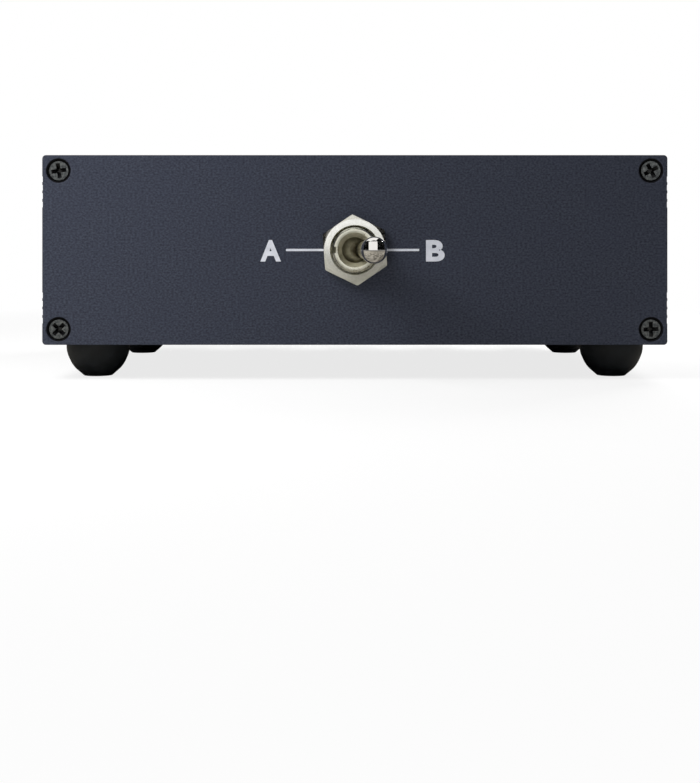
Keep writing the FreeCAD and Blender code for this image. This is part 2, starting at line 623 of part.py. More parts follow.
def make_solder_lugs():
    """Ring lugs whose tabs point to the middle of the case, where the wires leave them."""
    body = new_body("solder_lugs")
    sketch = new_sketch(body, level=LUG_BACK)
    draw_circle(sketch, f"-{POST_X}", f"-{POST_Y}", "dim.lug_radius")
    pad(body, sketch, "dim.lug_thickness")
    tab = box_corners(f"-{POST_X} - dim.lug_tab_width / 2", f"-{POST_X} + dim.lug_tab_width / 2",
                      f"-{POST_Y}", f"dim.lug_tab_reach - {POST_Y}")
    prism(body, tab, LUG_BACK, "dim.lug_thickness")
    bore(body, f"-{POST_X}", f"-{POST_Y}", "dim.tail_radius + dim.thread_gap", LUG_FRONT, "dim.lug_thickness")
    repeat(body, [], POST_GRID[0], "XZ_Plane")
    place(body, "0", REAR_FACE, MIDDLE_Z, OUT_OF_REAR)
    keep(body)


def make_clamp_ring(label):
    """The clear ring between collar and cap: it is pressed down by the cap and doesn't turn."""
    body = new_body(label)
    inner = "dim.spindle_radius + dim.ring_bore_gap"
    top = f"{RING_LOW} + dim.ring_height"
    turned(body, [(inner, RING_LOW), ("dim.ring_radius", RING_LOW), ("dim.ring_radius", top), (inner, top)])
    return body


def make_cap(label):
    """The clear cap: a round skirt, a neck, eight facets with bevelled ends, a shoulder and a boss."""
    body = new_body(label)
    sketch = new_sketch(body, level=NECK_TOP)
    facets = int(worth("dim.cap_facets"))
    draw_outline(sketch, polygon_corners("dim.cap_corner_radius", facets))
    draw_circle(sketch, "0", "0", CAP_BORE)
    pad(body, sketch, "dim.cap_facet_height")
    outside = "dim.cap_corner_radius + dim.cap_bevel"
    inside = "dim.cap_corner_radius - dim.cap_bevel"
    turned_cut(body, [(inside, FACET_TOP), (outside, f"{FACET_TOP} - 2 * dim.cap_bevel"),
                      (outside, FACET_TOP)])
    turned_cut(body, [(inside, NECK_TOP), (outside, NECK_TOP), (outside, f"{NECK_TOP} + 2 * dim.cap_bevel")])
    turned(body, [(CAP_BORE, CAP_LOW), ("dim.cap_skirt_radius", CAP_LOW), ("dim.cap_skirt_radius", SKIRT_TOP),
                  ("dim.cap_neck_radius", SKIRT_TOP), ("dim.cap_neck_radius", NECK_TOP),
                  (CAP_BORE, NECK_TOP)])
    turned(body, [(CAP_BORE, f"{FACET_TOP} - dim.cap_bevel"),
                  ("dim.cap_shoulder_radius", f"{FACET_TOP} - dim.cap_bevel"),
                  ("dim.cap_shoulder_radius", FACET_TOP), ("dim.cap_boss_radius", SHOULDER_TOP),
                  ("dim.cap_boss_radius", f"{BOSS_TOP} - dim.cap_boss_chamfer"),
                  ("dim.cap_boss_radius - dim.cap_boss_chamfer", BOSS_TOP), (CAP_MOUTH, BOSS_TOP),
                  (CAP_MOUTH, CAP_STEP), (CAP_BORE, CAP_STEP)])
    return body


def make_cap_insert(label):
    """The brass sleeve in the cap, threaded for the spindle, with the plug's way in at its front."""
    body = new_body(label)
    turned(body, [(INSERT_BORE, CAP_LOW), ("dim.insert_radius", CAP_LOW),
                  ("dim.insert_radius", INSERT_SHOULDER), ("dim.insert_collar_radius", INSERT_SHOULDER),
                  ("dim.insert_collar_radius", INSERT_FRONT),
                  ("dim.banana_radius + dim.mouth_chamfer", INSERT_FRONT),
                  ("dim.banana_radius", f"{INSERT_FRONT} - dim.mouth_chamfer"),
                  ("dim.banana_radius", INSERT_MOUTH), (INSERT_BORE, INSERT_MOUTH)])
    return body


def make_post_tops():
    """A clamp ring, a cap and its insert for every post, row by row from the upper left."""
    columns = int(worth("dim.post_columns"))
    for row in range(2):
        for column in range(columns):
            number = row * columns + column
            x = f"{POST_PITCH} * {column} - {POST_X}"
            z = f"{MIDDLE_Z} + {1 - 2 * row} * {POST_Y}"
            twist = FreeCAD.Rotation(UPRIGHT, worth("dim.cap_twist") * number)
            for make, name in ((make_clamp_ring, "clamp_ring"), (make_cap, "cap"),
                               (make_cap_insert, "cap_insert")):
                piece = keep(make(f"{name}_{number + 1:02d}"))
                place(piece, x, REAR_FACE, z, OUT_OF_REAR * twist)


# ---------------------------------------------------------------- toggle switch

def place_on_front(body):
    place(body, "0", FRONT_FACE, MIDDLE_Z, OUT_OF_FRONT)


def make_toggle_bushing():
    """The threaded bushing and the frame plate at its foot; the lever's ball turns in its cavity."""
    body = new_body("toggle_bushing")
    sketch = new_sketch(body, level=HOUSING_FRONT)
    draw_outline(sketch, centred_box(HOUSING_WIDTH, HOUSING_TALL))
    draw_circle(sketch, "0", "0", CAVITY_RADIUS)
    pad(body, sketch, "dim.frame_thickness")
    turned(body, [(CAVITY_RADIUS, HOUSING_FRONT), ("dim.bushing_radius", HOUSING_FRONT),
                  ("dim.bushing_radius", f"{BUSHING_FRONT} - dim.bushing_chamfer"),
                  ("dim.bushing_radius - dim.bushing_chamfer", BUSHING_FRONT),
                  ("dim.bushing_mouth_radius", BUSHING_FRONT), ("dim.bushing_lip_radius", LIP_FRONT),
                  ("dim.bushing_lip_radius", LIP_BACK), (CAVITY_RADIUS, LIP_BACK)])
    keyway = box_corners("-2 * dim.bushing_radius", "dim.keyway_depth - dim.bushing_radius",
                         "-dim.keyway_width / 2", "dim.keyway_width / 2")
    prism_cut(body, keyway, BUSHING_FRONT, f"{BUSHING_FRONT} + {BUSHING_BASE}")
    cross_bore(body, "0", "-dim.pivot_depth", "dim.pivot_pin_radius + dim.pin_seat_gap",
               "3 * dim.bushing_radius")
    place_on_front(body)
    keep(body)


def make_toggle_nuts():
    """The same hexagon nut in front of the panel and behind it."""
    body = new_body("toggle_nuts")
    sketch = new_sketch(body)
    draw_outline(sketch, hexagon_corners("dim.toggle_nut_flats", "(30 + dim.toggle_nut_turn)"))
    draw_circle(sketch, "0", "0", "dim.bushing_radius + dim.thread_gap")
    pad(body, sketch, "dim.toggle_nut_height")
    reach = "(dim.toggle_nut_flats / cos(30) / 2 + dim.toggle_nut_bevel)"
    flat = "(dim.toggle_nut_flats / 2 + dim.toggle_nut_bevel)"
    turned_cut(body, [(flat, "dim.toggle_nut_height"),
                      (reach, f"dim.toggle_nut_height - ({reach} - {flat}) * tan(30)"),
                      (reach, "dim.toggle_nut_height")])
    back_step = "dim.toggle_nut_height + dim.panel_thickness + dim.tooth_washer_thickness"
    repeat(body, [], ("Z_Axis", back_step, "2"))
    place(body, "0", f"{FRONT_FACE} + {back_step}", MIDDLE_Z, OUT_OF_FRONT)
    keep(body)


def make_toggle_lock_washer():
    """The washer behind the panel; its tab sits in the bushing's keyway."""
    body = new_body("toggle_lock_washer")
    bottom = "-dim.panel_thickness - dim.tooth_washer_thickness"
    sketch = new_sketch(body, level=bottom)
    draw_circle(sketch, "0", "0", "dim.tooth_washer_radius")
    draw_circle(sketch, "0", "0", "dim.bushing_radius + dim.thread_gap")
    pad(body, sketch, "dim.tooth_washer_thickness")
    half_tab = "(dim.keyway_width / 2 - dim.washer_key_gap)"
    tab = box_corners("-dim.bushing_radius - dim.washer_tab_root",
                      "dim.keyway_depth - dim.bushing_radius - dim.washer_key_gap", f"-{half_tab}", half_tab)
    prism(body, tab, bottom, "dim.tooth_washer_thickness")
    place_on_front(body)
    keep(body)


def make_toggle_housing():
    """The moulded box under the frame plate, with a slot for each terminal and walls between the poles."""
    body = new_body("toggle_housing")
    prism(body, centred_box(HOUSING_WIDTH, HOUSING_TALL), HOUSING_BACK, f"{HOUSING_FRONT} - {HOUSING_BACK}")
    inner_width = f"{HOUSING_WIDTH} - 2 * dim.housing_wall"
    inner_tall = f"{HOUSING_TALL} - 2 * dim.housing_wall"
    prism_cut(body, centred_box(inner_width, inner_tall), HOUSING_FRONT, f"{HOUSING_FRONT} - {HOUSING_BASE}")
    first_wall = "(-dim.pole_pitch * (dim.pole_count - 2) / 2)"
    wall_end = f"({HOUSING_WIDTH} / 2 - dim.housing_wall / 2)"
    wall = prism(body, box_corners(f"-{wall_end}", wall_end, f"{first_wall} - dim.barrier_thickness / 2",
                                   f"{first_wall} + dim.barrier_thickness / 2"),
                 HOUSING_BASE, f"{ROCKER_TOP} - {HOUSING_BASE}")
    repeat(body, [wall], ("Y_Axis", "dim.pole_pitch * (dim.pole_count - 2)", "dim.pole_count - 1"))
    thick = "dim.terminal_thickness + 2 * dim.terminal_gap"
    wide = "dim.terminal_width + 2 * dim.terminal_gap"
    slot = prism_cut(body, terminal_corners(thick, wide), HOUSING_BASE, "dim.housing_floor")
    repeat(body, [slot], *TERMINAL_GRID)
    place_on_front(body)
    keep(body)


def terminal_corners(thick, wide):
    """The section of the first terminal, at the lowest pole on the left."""
    return box_corners(f"-dim.throw_pitch - ({thick}) / 2", f"-dim.throw_pitch + ({thick}) / 2",
                       f"{FIRST_POLE} - ({wide}) / 2", f"{FIRST_POLE} + ({wide}) / 2")


def make_toggle_terminals():
    """Twelve flat terminals, three to a pole, each with a round crest inside and an eye outside.

    The crest of a pole's middle terminal is what its rocking contact turns on.
    """
    body = new_body("toggle_terminals")
    prism(body, terminal_corners("dim.terminal_thickness", "dim.terminal_width"), TERMINAL_END,
          f"{FULCRUM} - {TERMINAL_END}")
    crest = new_sketch(body, "XZ_Plane", f"-{FIRST_POLE}")
    draw_circle(crest, "-dim.throw_pitch", FULCRUM, "dim.terminal_thickness / 2")
    pad(body, crest, "dim.terminal_width", symmetric=True)
    sketch = new_sketch(body, "YZ_Plane")
    draw_circle(sketch, FIRST_POLE, f"{TERMINAL_END} + dim.terminal_eye_inset", "dim.terminal_eye_radius")
    pocket(body, sketch, "4 * dim.throw_pitch", symmetric=True)
    repeat(body, [], *TERMINAL_GRID)
    place_on_front(body)
    keep(body)


def lever_rotation(degrees):
    """Front-facing, then swung about the upright axis; positive swings to the right."""
    return FreeCAD.Rotation(UPRIGHT, degrees) * OUT_OF_FRONT


def place_on_pivot(body):
    place(body, "0", f"{FRONT_FACE} + dim.pivot_depth", MIDDLE_Z, lever_rotation(worth("dim.lever_tilt")))


def make_toggle_lever():
    """The bat lever: a ball at the pivot, a stem that swells to its tip, and a lower arm inside."""
    body = new_body("toggle_lever")
    arm_end = f"(-{CARRIAGE_NEAR} - dim.lever_arm_grip)"
    turned(body, [("0", arm_end), ("dim.lever_arm_radius", arm_end),
                  ("dim.lever_arm_radius", "0"), ("dim.lever_neck_radius", "0"),
                  ("dim.lever_neck_radius", "dim.pivot_ball_radius"),
                  ("dim.lever_swell_radius", "dim.lever_length - dim.lever_tip_radius / 2"),
                  ("dim.lever_swell_radius", "dim.lever_length"), ("0", "dim.lever_length")])
    ball(body, "dim.pivot_ball_radius", "0")
    ball(body, "dim.lever_tip_radius", "dim.lever_length")
    cross_bore(body, "0", "0", "dim.pivot_pin_radius + dim.pin_running_gap", "4 * dim.pivot_ball_radius")
    place_on_pivot(body)
    keep(body)


def make_toggle_pivot_pin():
    """The pin across the bushing that the lever turns on; it stands upright."""
    pin = doc.addObject("Part::Cylinder", "toggle_pivot_pin")
    pin.Label = "toggle_pivot_pin"
    pin.setExpression("Radius", "dim.pivot_pin_radius")
    pin.setExpression("Height", PIVOT_PIN_LENGTH)
    place(pin, "0", f"{FRONT_FACE} + dim.pivot_depth", f"{MIDDLE_Z} - {PIVOT_PIN_LENGTH} / 2")
    keep(pin)


def make_lever_carriage():
    """The moulded block on the lower arm that holds one sprung plunger for each pole."""
    body = new_body("lever_carriage")
    tall = "(dim.pole_pitch * (dim.pole_count - 1) + 2 * dim.carriage_edge)"
    prism(body, centred_box("dim.carriage_width", tall), f"-{CARRIAGE_FAR}", "dim.carriage_height")
    round_upright_edges(body, "dim.carriage_corner", "dim.carriage_width / 2", f"{tall} / 2")
    bore(body, "0", "0", "dim.lever_arm_radius + dim.pin_seat_gap", f"-{CARRIAGE_NEAR}", "dim.lever_arm_grip")
    well = bore(body, "0", FIRST_POLE, "dim.plunger_radius + dim.plunger_gap", WELL_TOP, "dim.plunger_well")
    repeat(body, [well], POLE_ROW)
    place_on_pivot(body)
    keep(body)


def make_contact_plungers():
    """Round-nosed pins that press on the rocking contacts."""
    body = new_body("contact_plungers")
    nose = f"(dim.plunger_radius - {PLUNGER_REACH})"
    rod(body, "0", FIRST_POLE, "dim.plunger_radius", nose, "dim.plunger_length - dim.plunger_radius")
    tip = ball(body, "dim.plunger_radius", nose)
    tip.setExpression("AttachmentOffset.Base.y", FIRST_POLE)
    repeat(body, [], POLE_ROW)
    place_on_pivot(body)
    keep(body)


def make_plunger_springs():
    """The springs behind the plungers, drawn as sleeves of the coil's size."""
    body = new_body("plunger_springs")
    low = f"(dim.plunger_length - {PLUNGER_REACH})"
    sketch = new_sketch(body, level=low)
    draw_circle(sketch, "0", FIRST_POLE, "dim.plunger_radius - dim.spring_wall_gap")
    draw_circle(sketch, "0", FIRST_POLE, "dim.spring_bore_radius")
    pad(body, sketch, f"{WELL_TOP} - {low}")
    repeat(body, [], POLE_ROW)
    place_on_pivot(body)
    keep(body)


def make_contact_rockers():
    """A rocking contact for each pole, resting on the middle terminal's crest with both arms bent up."""
    body = new_body("contact_rockers")
    rise = f"{ROCKER_HALF_LENGTH} * tan(dim.rocker_rise)"
    base = "dim.terminal_thickness / 2 + dim.fulcrum_gap"
    top = f"{base} + dim.rocker_thickness"
    sketch = new_sketch(body, "XZ_Plane")
    draw_outline(sketch, [("0", base), (ROCKER_HALF_LENGTH, f"{base} + {rise}"),
                          (ROCKER_HALF_LENGTH, f"{top} + {rise}"), ("0", top),
                          (f"-{ROCKER_HALF_LENGTH}", f"{top} + {rise}"),
                          (f"-{ROCKER_HALF_LENGTH}", f"{base} + {rise}")])
    pad(body, sketch, "dim.rocker_width", symmetric=True)
    repeat(body, [], POLE_ROW)
    place(body, "0", f"{FRONT_FACE} - {FULCRUM}", f"{MIDDLE_Z} + {FIRST_POLE}",
          lever_rotation(-worth("dim.rocker_rise")))
    keep(body)


# ---------------------------------------------------------------- hook-up wires

def tube_along(points, radius, bend_share):
    """A round tube on straight runs joined by arcs; an arc takes up a share of the shorter of its runs."""
    edges = []
    start = points[0]
    for before, corner, after in zip(points, points[1:], points[2:]):
        incoming = (corner - before).normalize()
        outgoing = (after - corner).normalize()
        half_turn = incoming.getAngle(outgoing) / 2
        tangent = bend_share * min(corner.distanceToPoint(before), corner.distanceToPoint(after))
        bend_radius = tangent / math.tan(half_turn)
        arc_start = corner - incoming * tangent
        arc_end = corner + outgoing * tangent
        inward = (outgoing - incoming).normalize()
        arc_middle = corner + inward * (math.hypot(bend_radius, tangent) - bend_radius)
        edges.append(Part.LineSegment(start, arc_start).toShape())
        edges.append(Part.Arc(arc_start, arc_middle, arc_end).toShape())
        start = arc_end
        print("wire bend radius %.1f" % bend_radius)
    edges.append(Part.LineSegment(start, points[-1]).toShape())
    path = Part.Wire(edges)
    section = Part.Wire(Part.Circle(points[0], points[1] - points[0], radius).toShape())
    tube = path.makePipeShell([section], True, False)
    ideal = math.pi * radius ** 2 * path.Length
    if abs(tube.Volume - ideal) > 0.01 * ideal:
        raise RuntimeError("a wire's tube has the wrong volume")
    return tube


def make_hookup_wires():
    """One wire from each solder lug to its terminal.

    The posts stand in three pairs of columns: amplifier A on the left seen from the front, the speakers
    in the middle, amplifier B on the right. Amplifier A feeds the right-hand terminals and amplifier B
    the left-hand ones, because a rocking contact tips away from the lever. The wires of the three groups
    cross in lanes of their own, one above the other.
    """
    pitch = worth(POST_PITCH)
    first_x = -worth(POST_X)
    throw = worth("dim.throw_pitch")
    pole = worth("dim.pole_pitch")
    lane = worth("dim.hookup_wire_lane")
    lug_y = worth(f"{REAR_FACE} + {LUG_BACK}")
    lug_drop = worth(f"{POST_Y} - dim.lug_wire_place")
    terminal_y = worth(f"{FRONT_FACE} - {TERMINAL_END} + dim.hookup_wire_gap")
    middle_z = worth(MIDDLE_Z)
    lead = worth("dim.hookup_wire_lead")
    drop = worth("dim.hookup_wire_drop")
    radius = worth("dim.hookup_wire_radius")
    bend_share = worth("dim.hookup_wire_bend_share")
    outer_pole = (worth("dim.pole_count") - 1) / 2
    tubes = []
    for group, (terminal_x, lane_rise) in enumerate(((throw, lane), (0, 0), (-throw, -lane))):
        # of each group's two columns of posts, the right-hand one feeds the outer poles
        for column, pole_steps in ((2 * group + 1, outer_pole), (2 * group, outer_pole - 1)):
            for side in (1, -1):
                post_x = first_x + pitch * column
                pole_z = middle_z + side * pole * pole_steps
                lug_z = middle_z + side * lug_drop
                tubes.append(tube_along([
                    FreeCAD.Vector(post_x, lug_y, lug_z),
                    FreeCAD.Vector(post_x, lug_y - lead, lug_z),
                    FreeCAD.Vector(terminal_x, terminal_y + drop, pole_z + lane_rise),
                    FreeCAD.Vector(terminal_x, terminal_y, pole_z)], radius, bend_share))
    wires = doc.addObject("Part::Feature", "hookup_wires")
    wires.Label = "hookup_wires"
    wires.Shape = Part.makeCompound(tubes)
    wires.Placement = FreeCAD.Placement()
    keep(wires)


# ---------------------------------------------------------------- the whole object

def check_document():
    """Stops if any object failed to build or any sub-part isn't sound."""
    doc.recompute()
    for item in doc.Objects:
        if "Invalid" in item.State or "Error" in item.State:
            raise RuntimeError(f"{item.Name} failed: {item.State}")
    for item in nodes:
        if item.Shape.isNull() or not item.Shape.isValid() or not item.Shape.Solids:
            raise RuntimeError(f"{item.Label} has no sound shape")


def write_parts():
    os.makedirs("parts", exist_ok=True)
    for item in nodes:
        item.Shape.exportStep(os.path.join("parts", f"{item.Label}.step"))
        print(f"{item.Label}: {len(item.Shape.Solids)} solids, {item.Shape.Volume:.1f} mm3")


make_upper_shell()
make_lower_shell()
make_panel("front_panel", OUT_OF_FRONT, FRONT_FACE, cut_toggle_hole)
make_panel("rear_panel", OUT_OF_REAR, REAR_FACE, cut_post_holes)
make_machine_screws()
make_rubber_feet()
make_foot_nuts()
make_post_collars()
make_post_studs()
make_post_insulators()
make_post_nuts()
make_solder_lugs()
make_post_tops()
make_toggle_bushing()
make_toggle_nuts()
make_toggle_lock_washer()
make_toggle_housing()
make_toggle_terminals()
make_toggle_lever()
make_toggle_pivot_pin()
make_lever_carriage()
make_contact_plungers()
make_plunger_springs()
make_contact_rockers()
make_hookup_wires()
check_document()
write_parts()
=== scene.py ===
# %% [markdown]
# # A speaker selector switch, dressed for a product picture
# The object is a flat metal box. It has one bat-lever toggle switch in front and twelve clear binding
# posts at the back. The construction model gives every piece at its real size, and this script gives each
# piece the surface that a hand would feel: sprayed paint, anodised metal, moulded plastic, plated brass.

# %% Load the construction model
import math
import random
import bmesh
import bpy
from mathutils import Matrix, Vector


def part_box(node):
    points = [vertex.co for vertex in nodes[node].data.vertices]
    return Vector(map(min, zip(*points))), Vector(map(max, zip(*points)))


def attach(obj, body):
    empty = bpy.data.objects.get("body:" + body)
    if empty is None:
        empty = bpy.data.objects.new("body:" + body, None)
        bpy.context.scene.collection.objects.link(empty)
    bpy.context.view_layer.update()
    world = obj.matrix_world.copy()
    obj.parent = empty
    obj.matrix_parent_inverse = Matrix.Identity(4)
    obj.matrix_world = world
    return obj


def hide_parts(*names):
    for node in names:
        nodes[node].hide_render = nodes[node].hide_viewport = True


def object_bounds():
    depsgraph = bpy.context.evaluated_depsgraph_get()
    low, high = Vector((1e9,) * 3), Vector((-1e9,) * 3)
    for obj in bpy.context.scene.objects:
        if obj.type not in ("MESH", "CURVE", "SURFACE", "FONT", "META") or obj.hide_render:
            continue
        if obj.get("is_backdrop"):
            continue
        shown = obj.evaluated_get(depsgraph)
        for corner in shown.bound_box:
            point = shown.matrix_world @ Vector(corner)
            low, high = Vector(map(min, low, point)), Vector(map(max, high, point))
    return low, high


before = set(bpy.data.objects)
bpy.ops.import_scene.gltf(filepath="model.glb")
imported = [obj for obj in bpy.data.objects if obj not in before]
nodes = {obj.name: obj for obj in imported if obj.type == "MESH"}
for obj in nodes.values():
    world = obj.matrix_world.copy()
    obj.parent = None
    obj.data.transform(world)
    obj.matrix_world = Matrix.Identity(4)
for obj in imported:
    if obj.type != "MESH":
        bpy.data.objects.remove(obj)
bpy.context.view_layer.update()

MM = 0.001

# %% [markdown]
# Every length below is in millimetres, because that is how such a box is dimensioned, and it is turned
# into metres where a mesh is made. The places of the panels, posts and feet are read from the model, so a
# piece that is dressed here always sits where the construction put it.

# %% Places read from the model
front_low, front_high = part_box("front_panel")
front_face = front_low.y
rear_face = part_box("rear_panel")[1].y
panel_middle_z = (front_low.z + front_high.z) / 2
panel_half_width = front_high.x
panel_half_height = (front_high.z - front_low.z) / 2
SCREW_FROM_SIDE = 4.2 * MM
SCREW_FROM_EDGE = 4.1 * MM
screw_x = panel_half_width - SCREW_FROM_SIDE
screw_z = panel_half_height - SCREW_FROM_EDGE
print("front face", round(front_face / MM, 2), "rear face", round(rear_face / MM, 2),
      "screws at", round(screw_x / MM, 2), round(screw_z / MM, 2))

# %% [markdown]
# ## Camera
# A product picture of a box like this is taken square on, from about a hand's reach, with a short
# telephoto lens. The camera stays level and the lens is shifted, as an architect's camera is, so the
# upright edges stay upright while the box sits high in the frame.

# %% Camera
FRAME_HEIGHT_PX = 783
BOX_MIDDLE_PX = 250
MM_PER_PX = 0.2672
CAMERA_DISTANCE = 350 * MM
CAMERA_LEFT = 1.3 * MM
CAMERA_RISE = 0.5 * MM


def place_new(name, data):
    """Puts a new object in the scene."""
    item = bpy.data.objects.new(name, data)
    bpy.context.scene.collection.objects.link(item)
    return item


camera_data = bpy.data.cameras.new("camera")
camera_data.sensor_width = 36
camera_data.lens = camera_data.sensor_width * CAMERA_DISTANCE / (FRAME_HEIGHT_PX * MM_PER_PX * MM)
rise_px = CAMERA_RISE / (MM_PER_PX * MM)
camera_data.shift_y = -(FRAME_HEIGHT_PX / 2 - BOX_MIDDLE_PX + rise_px) / FRAME_HEIGHT_PX
camera_data.clip_start = 0.01
camera = place_new("camera", camera_data)
camera.location = (-CAMERA_LEFT, front_face - CAMERA_DISTANCE, panel_middle_z + CAMERA_RISE)
camera.rotation_euler = (math.radians(90), 0, 0)
bpy.context.scene.camera = camera
bpy.context.scene.view_settings.view_transform = "Standard"
print("lens %.1f mm, shift %.3f" % (camera_data.lens, camera_data.shift_y))

# %% [markdown]
# ## Node helpers
# A finish is a small graph of nodes. These helpers keep each graph short: one adds a node and feeds it,
# one makes a noise from the piece's own coordinates, and one bends a noise into a bump. A noise keeps
# mostly to the middle of its range, so that middle is stretched over the range that is wanted.

# %% Node helpers
def new_finish(name):
    """An empty material with its output and a Principled shader: gives (material, tree, shader)."""
    material = bpy.data.materials.new(name)
    material.use_nodes = True
    tree = material.node_tree
    return material, tree, tree.nodes["Principled BSDF"]


def feed(tree, socket, value):
    """Gives a socket a value, or a link where the value is a socket itself."""
    if isinstance(value, bpy.types.NodeSocket):
        tree.links.new(value, socket)
    else:
        socket.default_value = value


def dress(tree, shader, **values):
    """Feeds the inputs of a shader by name."""
    for key, value in values.items():
        feed(tree, shader.inputs[key.replace("_", " ")], value)


def add_node(tree, kind, inputs=(), **values):
    """Adds a node; inputs feeds its sockets in order, values feeds them by name or sets an option."""
    node = tree.nodes.new(kind)
    for key, value in values.items():
        name = key.replace("_", " ")
        if name in node.inputs:
            feed(tree, node.inputs[name], value)
        else:
            setattr(node, key, value)
    for socket, value in zip(node.inputs, inputs):
        feed(tree, socket, value)
    return node


def maths(tree, operation, *inputs):
    return add_node(tree, "ShaderNodeMath", inputs, operation=operation).outputs[0]


def own_place(tree):
    """The place on the piece, in the piece's own coordinates."""
    return tree.nodes.new("ShaderNodeTexCoord").outputs["Object"]


def noise(tree, size_mm, detail=2.0, stretch=(1, 1, 1)):
    """Noise whose blotches are about size_mm across, fixed to the piece."""
    mapping = add_node(tree, "ShaderNodeMapping", Vector=own_place(tree),
                       Scale=Vector(stretch) / (size_mm * MM))
    field = add_node(tree, "ShaderNodeTexNoise", Vector=mapping.outputs[0], Scale=1.0, Detail=detail)
    return field.outputs["Fac"]


def spread(tree, value, low, high, out_low=0.0, out_high=1.0):
    """Stretches the part of a value between low and high over a new range."""
    node = add_node(tree, "ShaderNodeMapRange", Value=value, From_Min=low, From_Max=high,
                    To_Min=out_low, To_Max=out_high)
    return node.outputs["Result"]


NOISE_LOW, NOISE_HIGH = 0.3, 0.7


def spread_noise(tree, field, out_low=0.0, out_high=1.0):
    """Stretches the part that a noise really uses over a new range."""
    return spread(tree, field, NOISE_LOW, NOISE_HIGH, out_low, out_high)


def blend_colours(tree, share, first, second):
    """A colour between first and second; either may be a colour or a socket."""
    node = add_node(tree, "ShaderNodeMix", data_type="RGBA")
    for index, value in ((0, share), (6, first), (7, second)):
        feed(tree, node.inputs[index], value)
    return node.outputs[2]


def two_tone(tree, shader, field, light, dark, rough_low, rough_high, low=NOISE_LOW):
    """Colour and gloss that follow one noise together; the dark covers what lies under low."""
    dress(tree, shader,
          Base_Color=blend_colours(tree, spread(tree, field, low, NOISE_HIGH), dark, light),
          Roughness=spread_noise(tree, field, rough_low, rough_high))


def bump(tree, shader, height, depth_mm, strength=0.5):
    node = add_node(tree, "ShaderNodeBump", Height=height, Strength=strength, Distance=depth_mm * MM)
    dress(tree, shader, Normal=node.outputs["Normal"])


def rgb(red, green, blue):
    """A colour as a paint chart gives it, 0 to 255, turned into light."""
    def linear(part):
        part = part / 255
        return part / 12.92 if part <= 0.04045 else ((part + 0.055) / 1.055) ** 2.4
    return linear(red), linear(green), linear(blue), 1.0


def grey(level):
    return level, level, level, 1.0


# %% [markdown]
# ## Slate paint
# Both panels are aluminium plates sprayed with a textured paint, a dark slate with a touch of blue. It
# dries in tiny beads, so the colour has a grain of a few tenths of a millimetre and the gloss is broken
# up. Two noises do this: a fine one for the beads and a coarse one for the uneven coat. A near-black ring
# round each screw is cut out of the coat by its distance from the screw: a painted shade for the dark gap
# in the countersink.

# %% Slate paint
PAINT_DARK = rgb(41, 44, 54)
PAINT_LIGHT = rgb(66, 70, 82)
PAINT_UNEVEN = rgb(51, 55, 69)
COUNTERSINK_SHADE = rgb(13, 13, 15)
BEAD_SIZE = 0.46
COAT_SIZE = 9.0
COUNTERSINK = 3.28
RING_BLUR = 0.02

slate_paint, tree, shader = new_finish("slate_paint")
beads = noise(tree, BEAD_SIZE, 2.5, (0.75, 1, 1))
coat = noise(tree, COAT_SIZE, 3.0)
grain = blend_colours(tree, spread_noise(tree, beads), PAINT_DARK, PAINT_LIGHT)
uneven = blend_colours(tree, spread_noise(tree, coat, 0.0, 0.22), grain, PAINT_UNEVEN)
split = add_node(tree, "ShaderNodeSeparateXYZ", Vector=own_place(tree))


def distance_from_line(tree, value, centre, offset):
    """How far a coordinate is from the nearer of two lines, offset to both sides of a centre."""
    from_centre = maths(tree, "ABSOLUTE", maths(tree, "SUBTRACT", value, centre))
    return maths(tree, "SUBTRACT", from_centre, offset)


side = distance_from_line(tree, split.outputs["X"], 0, screw_x)
height = distance_from_line(tree, split.outputs["Z"], panel_middle_z, screw_z)
flat = add_node(tree, "ShaderNodeCombineXYZ", (side, height))
length = add_node(tree, "ShaderNodeVectorMath", (flat.outputs[0],), operation="LENGTH")
# Painted shade: within the ring round each screw the paint turns near black, for the shade in the
# countersink.
ring = spread(tree, length.outputs["Value"], (COUNTERSINK - RING_BLUR) * MM,
              (COUNTERSINK + RING_BLUR) * MM)
dress(tree, shader, Base_Color=blend_colours(tree, ring, COUNTERSINK_SHADE, uneven), Specular_IOR_Level=0.12,
      Roughness=spread_noise(tree, beads, 0.42, 0.58))
bump(tree, shader, beads, 0.03, 0.6)
print("slate paint has", len(tree.nodes), "nodes")

# %% [markdown]
# ## Black finishes
# The two case shells are extruded aluminium with black anodising: dark, satin, with very fine lines
# along the way the metal came out of the press. The feet are moulded rubber, matt with a faint bloom.
# The screws are black coated steel, worn grey on the flat of the head. The recess, the edge of the head
# and the shank get a near-black finish further on, a painted shade for the dark inside the recess.

# %% Black finishes
PATCH_LOW = 0.35

black_anodised, tree, shader = new_finish("black_anodised")
lines = noise(tree, 0.18, stretch=(1, 0.02, 1))
cloud = noise(tree, 14.0)
dress(tree, shader, Roughness=spread_noise(tree, cloud, 0.34, 0.46), Specular_IOR_Level=0.25,
      Base_Color=blend_colours(tree, spread_noise(tree, lines), rgb(15, 15, 17), rgb(30, 30, 33)))
bump(tree, shader, lines, 0.004)

black_rubber, tree, shader = new_finish("black_rubber")
bloom = noise(tree, 3.0, 4.0)
two_tone(tree, shader, bloom, rgb(29, 32, 35), rgb(19, 22, 25), 0.5, 0.68, PATCH_LOW)
dress(tree, shader, Specular_IOR_Level=0.35)
bump(tree, shader, noise(tree, 0.25), 0.012)

black_screw, tree, shader = new_finish("blackened_steel")
wear = noise(tree, 0.7, 4.0)
two_tone(tree, shader, wear, rgb(120, 123, 122), rgb(66, 69, 71), 0.46, 0.3, PATCH_LOW)
dress(tree, shader, Metallic=0.85)
bump(tree, shader, noise(tree, 0.15), 0.006)

